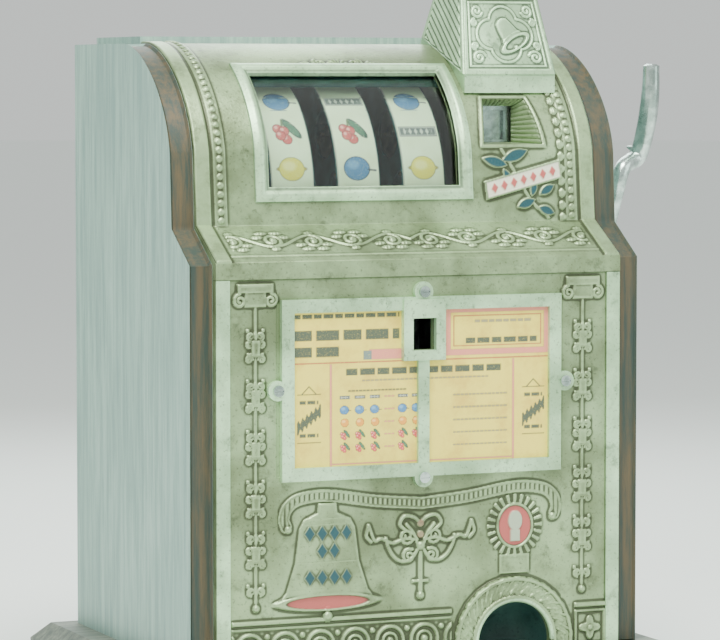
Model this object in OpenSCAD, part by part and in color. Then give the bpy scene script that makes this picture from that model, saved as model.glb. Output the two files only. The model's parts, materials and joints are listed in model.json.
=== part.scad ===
// Countertop three-reel bell machine of the 1910s: oak cabinet, cast front, side lever.
// Millimetres. +X is the player's right, -Y is the front, +Z is up.
// The origin is the centre of the plinth's underside.

/* [Cabinet] */
// Width over the outer faces of the two side boards
cab_w = 390; // [370:1:470]
// Depth of the side boards
cab_d = 274; // [272:1:330]
// Height of the side boards
cab_h = 490; // [490:1:590]
// Thickness of the side boards
board_t = 19; // [15:0.5:23]
// Thickness of the back door
door_t = 16; // [12:0.5:16]

/* [Base] */
// Height of the plinth
plinth_h = 50; // [42:1:62]
// Flat ledge beside and in front of the side boards
ledge = 20; // [12:1:30]
// Flat ledge behind the cabinet
back_ledge = 12; // [8:1:24]
// Run of the bevel round the plinth
bevel = 14; // [6:1:20]
// Radius of the holes that bolt the machine to a stand
bolt_r = 4.5; // [3:0.5:6]
// Distance between the bolt holes from side to side
bolt_pitch_x = 260; // [200:5:300]
// Distance between the bolt holes from front to back
bolt_pitch_y = 180; // [140:5:200]

/* [Castings] */
// Wall of the head casting
head_wall = 5; // [3.5:0.5:5]
// Wall of the front casting
front_wall = 5; // [4:0.5:7]
// How far the band between the castings stands in front of the boards
band_proud = 7; // [7:0.5:9]
// Fullness of the brow's curve, where 2 is an ellipse
brow_full = 1.72; // [1.66:0.02:1.9]

/* [Reel window] */
// Clear width of the reel window
win_w = 166; // [160:1:170]
// Clear height of the reel window
win_h = 90.5; // [84:0.5:93]
// Border of the window frame
win_border = 12; // [8:1:13]
// How far the window frame stands proud of the casting
win_proud = 4; // [2:0.5:5]

/* [Reels] */
// Outer radius of a reel
reel_r = 100; // [84:1:100]
// Width of a reel
reel_w = 38; // [34:1:38]
// Distance between the middles of two reels
reel_pitch = 57.5; // [57:0.5:60]
// Radius of the index wheels
star_r = 58; // [52:1:58]
// Radius of the reel shaft
reel_shaft_r = 6; // [4:0.5:7.5]

/* [Coins] */
// Diameter of the coin
coin_d = 21.2; // [17:0.1:23]
// Thickness of the coin
coin_t = 2; // [1.2:0.1:2.4]
// Radius of the payout mouth
mouth_r = 33; // [26:1:34]

/* [Lever] */
// Radius of the lever's shaft
lever_shaft_r = 8; // [6:0.5:10]
// Distance from the side board to the lever's hub
lever_gap = 19; // [6:1:24]
// Pull of the lever in degrees
lever_pull = 75; // [60:1:75]

/* [Hidden] */
$fn = 64;

e = 1;         // how far a cutter reaches past the face that it cuts
run = 0.05;    // radial clearance of a shaft that turns in a bore
play = 0.3;    // clearance between neighbours that don't touch
stops = 20;    // stops on each index wheel, one for each symbol

// Heights
top_z = plinth_h + cab_h;
shoulder_z = top_z - 173;
band_top = top_z - 171.5;
band_z = band_top - 13;
ridge_z = top_z - 146;
brow_z = top_z - 93;
reel_z = top_z - 123;
lever_z = top_z - 250;

// Depths, measured back from the side boards' front edge
front_y = -(ledge + bevel + cab_d + back_ledge + bevel) / 2 + ledge + bevel;
function back(d) = front_y + d;
rear_y = back(cab_d);
door_y = rear_y - door_t;
ridge_d = 40;
upright_d = 43;
brow_d = 150;
reel_y = back(153);
lever_y = back(150);

// Widths
half_w = cab_w / 2;
inner_x = half_w - board_t;
cast_x = inner_x - play;
plinth_x = half_w + ledge + bevel;
plinth_y0 = front_y - ledge - bevel;
plinth_y1 = rear_y + back_ledge + bevel;
well_x = inner_x - 6;
well_y0 = back(10);
well_y1 = door_y + 4;

module box(x0, x1, y0, y1, z0, z1) {
  translate([x0, y0, z0])
    cube([x1 - x0, y1 - y0, z1 - z0]);
}
// A flat shape drawn in (Y, Z), carried along X
module yz(x0, x1) {
  translate([x0, 0, 0])
    rotate([90, 0, 90])
      linear_extrude(x1 - x0)
        children();
}
// A flat shape drawn in (X, Z), carried along Y
module xz(y0, y1) {
  translate([0, y1, 0])
    rotate([90, 0, 0])
      linear_extrude(y1 - y0)
        children();
}
module rod_x(r, x0, x1, y, z) {
  translate([x0, y, z])
    rotate([0, 90, 0])
      cylinder(r = r, h = x1 - x0);
}
module rod_y(r, y0, y1, x, z) {
  translate([x, y0, z])
    rotate([-90, 0, 0])
      cylinder(r = r, h = y1 - y0);
}
module rod_z(r, z0, z1, x, y) {
  translate([x, y, z0])
    cylinder(r = r, h = z1 - z0);
}

// ---- Outlines ----
// A point of the brow's curve at angle a, set in by d
function brow_point(a, d) = [
  back(brow_d) - (brow_d - upright_d - d) * pow(max(0, cos(a)), 2 / brow_full),
  brow_z + (top_z - brow_z - d) * pow(sin(a), 2 / brow_full)
];
function brow_curve(d) = [for (a = [0:7.5:90]) brow_point(a, d)];
// The head's surface from its lower edge to its top, set in by d
function skin(d) = concat(
  [[back(-band_proud + d), band_z], [back(-band_proud + d), band_top - 0.35 * d],
   [back(ridge_d - 2 + d), ridge_z + 1.5 - 0.6 * d]],
  brow_curve(d),
  [[back(brow_d + 15), top_z - d]]
);
function reversed(list) = [for (i = [len(list) - 1:-1:0]) list[i]];
module skin_band(d0, d1) {
  polygon(concat(skin(d0), reversed(skin(d1))));
}
// Everything behind the skin
module head_body(d) {
  polygon(concat(skin(d), [[back(brow_d + 15), band_z]]));
}
module board_outline() {
  polygon(concat(
    [[rear_y, plinth_h], [front_y, plinth_h], [front_y, shoulder_z], [back(ridge_d), ridge_z]],
    brow_curve(0),
    [[rear_y, top_z]]
  ));
}

// ---- Base ----
module base_plinth() {
  color("#6f6a58")
    difference() {
      intersection() {
        xz(plinth_y0, plinth_y1)
          polygon([[-plinth_x, 0], [plinth_x, 0], [plinth_x, plinth_h - bevel],
                   [plinth_x - bevel, plinth_h], [-plinth_x + bevel, plinth_h],
                   [-plinth_x, plinth_h - bevel]]);
        yz(-plinth_x, plinth_x)
          polygon([[plinth_y0, 0], [plinth_y1, 0], [plinth_y1, plinth_h - bevel],
                   [plinth_y1 - bevel, plinth_h], [plinth_y0 + bevel, plinth_h],
                   [plinth_y0, plinth_h - bevel]]);
      }
      box(-well_x, well_x, well_y0, well_y1, -e, plinth_h + e);
      // mitred corners
      for (x = [-1, 1])
        for (y = [[well_y0, plinth_y0], [well_y1, plinth_y1]])
          linear_extrude(plinth_h + e)
            polygon([[x * well_x, y[0]], [x * (well_x - 0.2), y[0]],
                     [x * (plinth_x - 0.2), y[1]], [x * (plinth_x + 0.2), y[1]],
                     [x * (plinth_x + 0.2), y[1]]]);
    }
}
floor_t = 20;
module floor_board() {
  color("#75684c")
    difference() {
      box(-well_x, well_x, well_y0, well_y1, 0, floor_t);
      for (x = [-1, 1])
        for (y = [-1, 1])
          rod_z(bolt_r, -e, floor_t + e, x * bolt_pitch_x / 2, y * bolt_pitch_y / 2);
    }
}

// ---- Cabinet ----
screw_places = [[248, 23], [28, 182], [254, 348]];
screw_r = 2.2;
module board_screw(side, p, grow) {
  mirror([side < 0 ? 1 : 0, 0, 0]) {
    rod_x(4.5 + grow, half_w - 4 - grow, half_w - 1 + (grow > 0 ? 3 : 0), back(p[0]), top_z - p[1]);
    rod_x(screw_r + grow, inner_x + 3, half_w - 3, back(p[0]), top_z - p[1]);
  }
}
module board_screw_holes(side) {
  for (p = screw_places)
    board_screw(side, p, 0.05);
}
module side_board_left() {
  color("#8fa5a0")
    difference() {
      yz(-half_w, -inner_x)
        board_outline();
      board_screw_holes(-1);
    }
}
module side_board_right() {
  color("#8fa5a0")
    difference() {
      yz(inner_x, half_w)
        board_outline();
      board_screw_holes(1);
      rod_x(lever_shaft_r + 4, inner_x - e, half_w + e, lever_y, lever_z);
      for (p = peg_places())
        rod_x(peg_r, inner_x - e, inner_x + 8, p[0], p[1]);
    }
}
top_board_z0 = top_z - 6;
module top_board() {
  color("#8fa5a0")
    box(-inner_x + 0.5, inner_x - 0.5, back(brow_d + 15) + play, rear_y, top_board_z0, top_z + 6);
}
module board_screws() {
  color("#5d6a62")
    difference() {
      for (side = [-1, 1])
        for (p = screw_places)
          board_screw(side, p, 0);
      for (side = [-1, 1])
        for (p = screw_places)
          translate([side * (half_w - 1), back(p[0]), top_z - p[1]])
            cube([2.4, 1.2, 12], center = true);
    }
}

// ---- Back door ----
door_x = inner_x - 1.2;
door_z0 = plinth_h + e;
door_z1 = top_board_z0 - e;
hinge_r = 4.2;
pin_r = 2.2;
hinge_x = -inner_x;
hinge_y = rear_y + hinge_r;
hinge_h = 60;
hinge_z = [door_z0 + 70, door_z1 - 120];
leaf_t = 1.6;
lock_r = 10;
plug_r = 6;
lock_x = inner_x - 41;
lock_z = (door_z0 + door_z1) / 2;
module back_door() {
  color("#82765a")
    difference() {
      box(-door_x, door_x, door_y, rear_y, door_z0, door_z1);
      rod_y(lock_r, door_y - e, rear_y + e, lock_x, lock_z);
    }
}
// One knuckle with the piece that joins it to a leaf on side s
module knuckle(s, z0, z1) {
  difference() {
    union() {
      rod_z(hinge_r, z0, z1, hinge_x, hinge_y);
      box(s < 0 ? hinge_x - 6 : hinge_x, s < 0 ? hinge_x : hinge_x + 6,
          rear_y, rear_y + leaf_t, z0, z1);
    }
    rod_z(pin_r + run, z0 - e, z1 + e, hinge_x, hinge_y);
  }
}
module leaf(s, z0, z1) {
  box(s < 0 ? hinge_x - board_t + 1 : hinge_x + 5, s < 0 ? hinge_x - 5 : hinge_x + 26,
      rear_y, rear_y + leaf_t, z0, z1);
}
third = hinge_h / 3;
module door_hinge_leaves() {
  color("#a08d55")
    for (z = hinge_z) {
      leaf(1, z, z + hinge_h);
      knuckle(1, z + third + play, z + 2 * third - play);
    }
}
module cabinet_hinge_leaves() {
  color("#a08d55")
    for (z = hinge_z) {
      leaf(-1, z, z + hinge_h);
      knuckle(-1, z, z + third);
      knuckle(-1, z + 2 * third, z + hinge_h);
    }
}
module hinge_pins() {
  color("#8f7d4c")
    for (z = hinge_z) {
      rod_z(pin_r, z - 0.5, z + hinge_h + 0.1, hinge_x, hinge_y);
      rod_z(hinge_r, z + hinge_h + 0.1, z + hinge_h + 2.5, hinge_x, hinge_y);
    }
}
module lock_barrel() {
  color("#a08d55")
    difference() {
      union() {
        rod_y(lock_r, door_y, rear_y, lock_x, lock_z);
        rod_y(lock_r + 3, rear_y, rear_y + 2, lock_x, lock_z);
      }
      rod_y(plug_r + run, door_y - e, rear_y + 3, lock_x, lock_z);
    }
}
cam_y = door_y - 8;
module lock_cam() {
  color("#a9b5ad")
    difference() {
      union() {
        rod_y(plug_r, cam_y, rear_y + 2.5, lock_x, lock_z);
        box(lock_x - 6, lock_x + 6, cam_y, cam_y + 3, lock_z, lock_z + 30);
      }
      box(lock_x - 0.8, lock_x + 0.8, rear_y - 6, rear_y + 4, lock_z - 4, lock_z + 4);
    }
}
module lock_keeper() {
  color("#a08d55") {
    box(lock_x + 20, inner_x, cam_y + 4.5, cam_y + 6.5, lock_z - 10, lock_z + 10);
    box(inner_x - 2, inner_x, cam_y - 20, cam_y + 4.5, lock_z - 10, lock_z + 10);
  }
}

// ---- Head casting ----
win_x = -29.5;
win_z = top_z - 114.5;
frame_z0 = win_z - win_border - 1.5;
frame_z1 = win_z + win_h + 8;
coin_x = 103.5;
funnel_w = 54;
funnel_z0 = top_z - 82;
funnel_z1 = top_z - 40;
pane_w = 28;
pane_z0 = funnel_z0 + 1.5;
pane_z1 = pane_z0 + 30;
pane_y = back(78);
fall_y = back(86);
fall_gap = coin_t + 3;
fall_w = coin_d + 4;
module coin_funnel() {
  intersection() {
    linear_extrude(top_z)
      polygon([[coin_x - funnel_w / 2 - 2, back(38)], [coin_x + funnel_w / 2 + 2, back(38)],
               [coin_x + pane_w / 2, pane_y + e], [coin_x - pane_w / 2, pane_y + e]]);
    yz(coin_x - funnel_w, coin_x + funnel_w)
      polygon([[back(38), funnel_z0], [back(38), funnel_z1 + 6], [pane_y + e, pane_z1],
               [pane_y + e, pane_z0]]);
  }
}
module coin_way(grow, z0, z1) {
  box(coin_x - fall_w / 2 - grow, coin_x + fall_w / 2 + grow,
      fall_y - fall_gap / 2 - grow, fall_y + fall_gap / 2 + grow, z0, z1);
}
module head_casting() {
  color("#a7b08c")
    difference() {
      union() {
        yz(-cast_x, cast_x)
          skin_band(0, head_wall);
        // stiffening lips beside the boards
        for (x = [-cast_x, cast_x - 5])
          yz(x, x + 5)
            skin_band(head_wall - 1, 14);
        // housing of the coin window
        intersection() {
          box(coin_x - funnel_w / 2 - 3, coin_x + funnel_w / 2 + 3, back(40), pane_y,
              funnel_z0 - 3, funnel_z1 + 4);
          yz(0, cast_x)
            head_body(1);
        }
      }
      box(win_x - win_w / 2, win_x + win_w / 2, back(-20), back(120), win_z, win_z + win_h);
      coin_funnel();
      coin_way(1.5, top_z - 60, top_z + 20);
    }
}
module window_frame() {
  color("#cfe0cf")
    difference() {
      intersection() {
        yz(win_x - win_w / 2 - win_border, win_x + win_w / 2 + win_border)
          skin_band(-win_proud, 0);
        box(-half_w, half_w, back(-20), back(120), frame_z0, frame_z1);
      }
      box(win_x - win_w / 2, win_x + win_w / 2, back(-30), back(120), win_z, win_z + win_h);
    }
}
glass_t = 2;
module inner_sheet(d0, d1, z0, z1) {
  intersection() {
    yz(win_x - win_w / 2 - 6, win_x + win_w / 2 + 6)
      skin_band(d0, d1);
    box(-half_w, half_w, back(0), back(120), z0, z1);
  }
}
module reel_glass() {
  color("#bcd4cf", 0.35)
    inner_sheet(head_wall, head_wall + glass_t, win_z - 6, win_z + win_h + 6);
}
module reel_mask() {
  color("#25302f")
    inner_sheet(head_wall + glass_t, head_wall + glass_t + 1, win_z + win_h - 12, win_z + win_h + 6);
}
// The coin head: a four-sided tower that leans back and narrows towards its top
tower_top = top_z + 42;
module tower_side(d) {
  yz(coin_x - 60, coin_x + 60)
    polygon([[back(66 + d), top_z - 40], [back(66 + d), top_z - 26],
             [back(88 + d), tower_top - d], [back(142 - d), tower_top - d],
             [back(161 - d), top_z + 3], [back(161 - d), top_z - 40]]);
}
module tower_front(d) {
  xz(back(40), back(170))
    polygon([[coin_x + 7.5 - 41 + d, top_z - 40], [coin_x + 7.5 - 41 + d, top_z - 26],
             [coin_x + 7.5 - 33 + d, tower_top + e], [coin_x + 7.5 + 33 - d, tower_top + e],
             [coin_x + 7.5 + 41 - d, top_z - 26], [coin_x + 7.5 + 41 - d, top_z - 40]]);
}
module coin_head() {
  color("#bcc7a6")
    difference() {
      intersection() {
        tower_side(0);
        tower_front(0);
      }
      intersection() {
        tower_side(4);
        tower_front(4);
      }
      yz(coin_x - 60, coin_x + 60)
        head_body(0);
      box(coin_x - coin_d / 2 - 1, coin_x + coin_d / 2 + 1,
          back(104), back(104) + coin_t + 1.2, tower_top - 6, tower_top + e);
    }
}
module coin_glass() {
  color("#8fb0bd", 0.35)
    box(coin_x - pane_w / 2 - 2, coin_x + pane_w / 2 + 2, pane_y, pane_y + glass_t,
        pane_z0 - 2, pane_z1 + 2);
}

// ---- Front casting, award card and payout ----
face_y = front_y - front_wall;
card_w = 243;
card_z0 = band_z - 159.5;
card_h = 143;
card_border = 10.5;
card_y = face_y - 1;
card_proud = 4.5;
tube_w = 20;
tube_z0 = card_z0 + 100.5;
tube_z1 = tube_z0 + 25.5;
mouth_x = 81;
mouth_z = plinth_h + 8;
ring_r = mouth_r + 19;
tabs = [[0, card_z0 + card_h + 4], [0, card_z0 - 1],
        [-card_w / 2 - 3.5, card_z0 + 72], [card_w / 2 + 3.5, card_z0 + 72]];
module arch(r, y0, y1) {
  rod_y(r, y0, y1, mouth_x, mouth_z);
}
module card_screw(p, grow) {
  rod_y(screw_r + grow, face_y - card_proud - 0.5, front_y + 3 + grow, p[0], p[1]);
  if (grow == 0)
    rod_y(4.5, face_y - card_proud - 2.5, face_y - card_proud, p[0], p[1]);
}
module tube_opening() {
  box(-tube_w / 2, tube_w / 2, face_y - 20, front_y + e, tube_z0, tube_z1);
}
module front_casting() {
  color("#a7b08c")
    difference() {
      union() {
        box(-cast_x, cast_x, face_y, front_y, plinth_h, band_z - play);
        for (x = [-cast_x, cast_x - 11.5])
          box(x, x + 11.5, face_y - 1.5, face_y + e, plinth_h, band_z - play);
        for (x = [-cast_x, cast_x - 5])
          box(x, x + 5, front_y - e, back(14), plinth_h, band_z - play);
        intersection() {
          arch(ring_r, face_y - 3, face_y + e);
          box(0, cast_x - 11.5, face_y - 4, front_y, plinth_h, band_z);
        }
      }
      intersection() {
        arch(mouth_r, face_y - 10, front_y + e);
        box(0, half_w, face_y - 11, front_y + 2, plinth_h + 5, band_z);
      }
      tube_opening();
      for (p = tabs)
        card_screw(p, 0.05);
    }
}
module award_frame() {
  color("#b9c6a8")
    difference() {
      union() {
        difference() {
          box(-card_w / 2, card_w / 2, face_y - card_proud, face_y, card_z0, card_z0 + card_h);
          box(-card_w / 2 + card_border, card_w / 2 - card_border, face_y - 10, face_y + e,
              card_z0 + card_border, card_z0 + card_h - card_border);
        }
        for (p = tabs)
          rod_y(8, face_y - card_proud, face_y, p[0], p[1]);
        // centre bar, and the small window's surround
        box(-4.8, 4.8, face_y - card_proud, card_y, card_z0 + card_border - e, tube_z0);
        box(-18.2, 18.2, face_y - card_proud - 2, card_y, tube_z0 - 8, card_z0 + card_h - 2);
      }
      box(-card_w / 2 + 5, card_w / 2 - 5, card_y, face_y + e, card_z0 + 5, card_z0 + card_h - 5);
      tube_opening();
      for (p = tabs)
        card_screw(p, 0.05);
    }
}
module award_card() {
  color("#d9c07a")
    difference() {
      box(-card_w / 2 + 5.2, card_w / 2 - 5.2, card_y, face_y,
          card_z0 + 5.2, card_z0 + card_h - 5.2);
      tube_opening();
    }
}
module frame_screws() {
  color("#c9d2c0")
    difference() {
      for (p = tabs)
        card_screw(p, 0);
      for (p = tabs)
        box(p[0] - 4, p[0] + 4, face_y - card_proud - 3.5, face_y - card_proud - 1.5,
            p[1] - 0.6, p[1] + 0.6);
    }
}
cup_wall = 3;
module payout_cup() {
  color("#56625a")
    difference() {
      intersection() {
        translate([mouth_x, front_y, mouth_z])
          sphere(r = mouth_r + 1 + cup_wall);
        box(0, half_w, front_y + 0.1, back(60), plinth_h, band_z);
      }
      difference() {
        translate([mouth_x, front_y, mouth_z])
          sphere(r = mouth_r + 1);
        box(0, half_w, front_y - 60, back(60), 0, plinth_h + cup_wall);
      }
      // way in for the coins
      box(mouth_x - mouth_r - 8, mouth_x - 15, back(9), back(31), mouth_z + 6, mouth_z + 24);
    }
}

// ---- Coins inside ----
tube_r = coin_d / 2 + 0.9;
tube_wall = 1.5;
tube_y = back(32);
base_t = 6;
base_z = floor_t + base_t;
bed_top = base_z + 66;
slide_t = 5.5;
slide_z = bed_top + play;
tube_foot = slide_z + slide_t + play;
tube_top = tube_z1 + 5;
module coin_tube() {
  color("#8f9a92")
    difference() {
      union() {
        rod_z(tube_r + tube_wall, tube_foot, tube_top, 0, tube_y);
        // foot flange on two posts beside the slide
        for (x = [-1, 1])
          box(x < 0 ? -22 : 16, x < 0 ? -16 : 22, tube_y - 8, tube_y + 8, bed_top, tube_foot + 3);
        box(-22, 22, tube_y - 8, tube_y + 8, tube_foot, tube_foot + 3);
      }
      rod_z(tube_r, tube_foot - e, tube_top + e, 0, tube_y);
    }
}
module payout_slide() {
  color("#9aa39b")
    difference() {
      box(-15.5, 15.5, back(17), back(72), slide_z, slide_z + slide_t);
      rod_z(tube_r, slide_z - e, slide_z + slide_t + e, 0, tube_y);
    }
}
module slide_bed() {
  color("#6b7470")
    difference() {
      box(-24, 24, back(14), back(86), base_z, bed_top);
      // shaft down which the paid coins drop, open to the chute's side
      box(-13, 24 + e, back(19), back(45), base_z + 30, bed_top - 10);
      box(-13, 13, back(32), back(45), bed_top - 11, bed_top + e);
      box(-16, 16, back(52), back(80), base_z - e, bed_top - 10);
    }
}
chute_z0 = bed_top - 20;
chute_z1 = mouth_z + 10;
module chute_wedge(x0, x1, y0, y1, h) {
  xz(y0, y1)
    polygon([[x0, chute_z0], [x1, chute_z1], [x1, chute_z1 + h], [x0, chute_z0 + h]]);
}
module payout_chute() {
  color("#8d9690")
    difference() {
      chute_wedge(-12.5, mouth_x - 30, back(19.5), back(30.5), 9);
      translate([0, 0, 1.2])
        chute_wedge(-20, mouth_x - 20, back(20.7), back(29.3), 12);
    }
}
turn_z = band_z + 14;
module coin_block(x, y, w, t, z, h) {
  box(x - w / 2, x + w / 2, y - t / 2, y + t / 2, z, z + h);
}
module coin_chute() {
  color("#a58f55")
    difference() {
      union() {
        intersection() {
          coin_way(1.2, turn_z, top_z);
          yz(0, cast_x)
            head_body(head_wall + play);
        }
        hull() {
          coin_block(coin_x, fall_y, fall_w + 2.4, fall_gap + 2.4, turn_z - 8, 8);
          coin_block(0, tube_y, fall_w + 2.4, fall_gap + 5, tube_top + play, 10);
        }
      }
      coin_way(0, turn_z - 1, top_z + 1);
      hull() {
        coin_block(coin_x, fall_y, fall_w, fall_gap, turn_z - 7, 8);
        coin_block(0, tube_y, fall_w, fall_gap + 2.6, tube_top - 1, 10);
      }
      // view of the last coin through the coin window
      box(coin_x - 11, coin_x + 11, back(70), fall_y, pane_z0 + 2, pane_z1 - 4);
    }
}
module cash_box() {
  color("#5b5248")
    difference() {
      box(-100, 40, back(130), back(245), base_z + play, base_z + 56);
      box(-98, 38, back(132), back(243), base_z + play + 2, base_z + 60);
    }
}

// ---- Mechanism ----
reels_x = win_x;
function reel_x(i) = reels_x + (i - 2) * reel_pitch;
hub_left = 19;
hub_right = 27;
star_x = 21;
star_t = 3;
hub_r = 14;
plate_t = 5;
left_x = reel_x(1) - hub_left - 17.5;
right_x = reel_x(3) + hub_right + 7;
stop_y = back(190);
stop_z = reel_z - 117;
stop_shaft_r = 5;
tie_r = 4;
ties = [[back(102), base_z + 34], [back(238), base_z + 68], [back(240), reel_z - 87]];
module mechanism_base() {
  color("#4f5955")
    box(left_x - 5, right_x + plate_t + 5, back(12), door_y - 3, floor_t, base_z);
}
module frame_outline() {
  difference() {
    union() {
      polygon([[back(40), base_z], [back(252), base_z], [back(252), base_z + 74],
               [back(230), base_z + 84], [stop_y + 18, stop_z + 12], [back(248), ties[2][1] - 6],
               [back(248), ties[2][1] + 10], [back(180), reel_z + 4],
               [back(140), reel_z + 10], [back(134), reel_z - 20], [back(128), lever_z + 20],
               [back(120), lever_z - 30], [back(60), base_z + 60], [back(40), base_z + 40]]);
      translate([reel_y, reel_z])
        circle(r = 16);
      translate([lever_y, lever_z])
        circle(r = 20);
      for (t = ties)
        translate(t)
          circle(r = 10);
    }
    // lightening holes
    translate([back(150), base_z + 105])
      circle(r = 34);
    translate([back(68), base_z + 26])
      circle(r = 14);
    translate([back(188), base_z + 34])
      circle(r = 20);
  }
}
module side_frame(x) {
  color("#4f5955")
    difference() {
      yz(x, x + plate_t)
        frame_outline();
      rod_x(reel_shaft_r, x - e, x + plate_t + e, reel_y, reel_z);
      rod_x(stop_shaft_r, x - e, x + plate_t + e, stop_y, stop_z);
      rod_x(lever_shaft_r + run, x - e, x + plate_t + e, lever_y, lever_z);
      for (t = ties)
        rod_x(tie_r, x - e, x + plate_t + e, t[0], t[1]);
    }
}
module frame_left() {
  side_frame(left_x);
}
module frame_right() {
  side_frame(right_x);
}
module tie_rods() {
  color("#9aa39b")
    for (t = ties)
      rod_x(tie_r, left_x - 2, right_x + plate_t + 2, t[0], t[1]);
}
module reel_shaft() {
  color("#9aa39b")
    rod_x(reel_shaft_r, left_x - 3, right_x + plate_t + 3, reel_y, reel_z);
}
module stop_shaft() {
  color("#9aa39b")
    rod_x(stop_shaft_r, left_x - 2, right_x + plate_t + 2, stop_y, stop_z);
}
module collar(x0, x1) {
  difference() {
    rod_x(reel_shaft_r + 4, x0, x1, reel_y, reel_z);
    rod_x(reel_shaft_r, x0 - e, x1 + e, reel_y, reel_z);
  }
}
module shaft_collars() {
  color("#9aa39b") {
    collar(left_x + plate_t, reel_x(1) - hub_left - play);
    for (i = [1, 2])
      collar(reel_x(i) + hub_right + play, reel_x(i + 1) - hub_left - play);
    collar(reel_x(3) + hub_right + play, right_x);
  }
}

// ---- Reels ----
strip_t = 0.6;
rim_t = 1.6;
nose_y = back(210);
nose_z = reel_z - 11;
nose_a = atan2(nose_z - reel_z, nose_y - reel_y);
module ring_yz(x0, x1, r1, r0) {
  yz(x0, x1)
    translate([reel_y, reel_z])
      difference() {
        circle(r = r1);
        circle(r = r0);
      }
}
module reel_drum(i) {
  x = reel_x(i);
  color("#8f9a92") {
    difference() {
      union() {
        ring_yz(x - reel_w / 2, x + reel_w / 2, reel_r - strip_t, reel_r - strip_t - rim_t);
        yz(x - 1, x + 1)
          translate([reel_y, reel_z])
            difference() {
              circle(r = reel_r - strip_t - 0.5);
              for (a = [0:60:300])
                rotate(a)
                  translate([0.57 * reel_r, 0])
                    circle(r = 0.2 * reel_r);
            }
        rod_x(hub_r, x - hub_left, x + star_x, reel_y, reel_z);
        rod_x(reel_shaft_r + 3, x + star_x - e, x + hub_right, reel_y, reel_z);
      }
      rod_x(reel_shaft_r + run, x - 40, x + 40, reel_y, reel_z);
    }
  }
}
module reel_strip(i) {
  x = reel_x(i);
  color("#dfe0bd")
    ring_yz(x - reel_w / 2 + 0.7, x + reel_w / 2 - 0.7, reel_r, reel_r - strip_t);
}
module index_wheel(i) {
  x = reel_x(i) + star_x;
  color("#8d8a72")
    yz(x, x + star_t)
      translate([reel_y, reel_z])
        difference() {
          circle(r = star_r);
          circle(r = reel_shaft_r + 3);
          for (k = [0:stops - 1])
            rotate(nose_a + k * 360 / stops)
              translate([star_r - 7, -3.5])
                square([20, 7]);
        }
}
module reel_drum_1() {
  reel_drum(1);
}
module reel_drum_2() {
  reel_drum(2);
}
module reel_drum_3() {
  reel_drum(3);
}
module reel_strip_1() {
  reel_strip(1);
}
module reel_strip_2() {
  reel_strip(2);
}
module reel_strip_3() {
  reel_strip(3);
}
module index_wheel_1() {
  index_wheel(1);
}
module index_wheel_2() {
  index_wheel(2);
}
module index_wheel_3() {
  index_wheel(3);
}
// A stop lever stands behind its index wheel, and its nose leans into a notch
nose_gap = star_r + 0.6;
module stop_lever(i) {
  x = reel_x(i) + star_x;
  ny = reel_y + nose_gap * cos(nose_a);
  nz = reel_z + nose_gap * sin(nose_a);
  color("#7c8580")
    difference() {
      union() {
        yz(x, x + star_t)
          polygon([[stop_y - 6, stop_z], [stop_y + 6, stop_z], [ny + 16, nz - 40], [ny + 16, nz + 2.6],
                   [ny + 8, nz + 2.6], [ny, nz + 1.2], [ny, nz - 1.2], [ny + 8, nz - 2.6],
                   [ny + 8, nz - 40]]);
        rod_x(8, x - 4, x + star_t + 4, stop_y, stop_z);
      }
      rod_x(stop_shaft_r + run, x - 6, x + star_t + 6, stop_y, stop_z);
    }
}
module stop_lever_1() {
  stop_lever(1);
}
module stop_lever_2() {
  stop_lever(2);
}
module stop_lever_3() {
  stop_lever(3);
}

// ---- Governor ----
clock_y = lever_y;
clock_z = lever_z - 65;
fan_r = 2;
clock_x0 = left_x - 36;
module clock_case() {
  color("#a58f55")
    difference() {
      box(clock_x0, left_x, clock_y - 30, clock_y + 35, clock_z - 35, clock_z + 35);
      rod_x(fan_r + run, clock_x0 - e, left_x - 4, clock_y, clock_z);
    }
}
module governor_fan() {
  color("#b59b5c") {
    rod_x(fan_r, clock_x0 - 10, left_x - 6, clock_y, clock_z);
    for (a = [0, 90])
      translate([clock_x0 - 7, clock_y, clock_z])
        rotate([a, 0, 0])
          cube([4, 44, 1.2], center = true);
  }
}

// ---- Lever ----
hub_x = half_w + lever_gap;
hub_w = 12;
grip_x = hub_x + hub_w / 2 + 29;
function lever_line() = [
  [hub_x + hub_w / 2, lever_y, lever_z],
  [hub_x + hub_w / 2, back(86), top_z - 118],
  [hub_x + hub_w / 2 + 4, back(86), top_z - 104],
  [grip_x - 4, back(97), top_z - 97],
  [grip_x, back(98), top_z - 88],
  [grip_x, back(80), top_z - 20]
];
lever_radii = [hub_w / 2 - 0.2, 6.5, 7, 7.5, 7.5, 7];
module handle() {
  line = lever_line();
  color("#b9cfc4")
    difference() {
      union() {
        for (i = [0:len(line) - 2])
          hull()
            for (k = [i, i + 1])
              translate(line[k])
                sphere(r = lever_radii[k], $fn = 32);
        rod_x(18, hub_x, hub_x + hub_w, lever_y, lever_z);
      }
      rod_x(lever_shaft_r, hub_x - 10, hub_x + 20, lever_y, lever_z);
    }
}
module lever_shaft() {
  color("#a9b5ad")
    rod_x(lever_shaft_r, left_x - 2, hub_x + hub_w + 2, lever_y, lever_z);
}
module lever_bush() {
  color("#a9b5ad")
    difference() {
      union() {
        rod_x(lever_shaft_r + 4, inner_x, half_w, lever_y, lever_z);
        rod_x(lever_shaft_r + 12, half_w, hub_x - play, lever_y, lever_z);
      }
      rod_x(lever_shaft_r + run, inner_x - e, hub_x + e, lever_y, lever_z);
    }
}
module lever_collar() {
  color("#7c8580")
    difference() {
      rod_x(lever_shaft_r + 6, inner_x - 9, inner_x - play, lever_y, lever_z);
      rod_x(lever_shaft_r, inner_x - 10, inner_x, lever_y, lever_z);
    }
}
arm_x = inner_x - 48;
arm_l = 46;
peg_r = 5;
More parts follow.
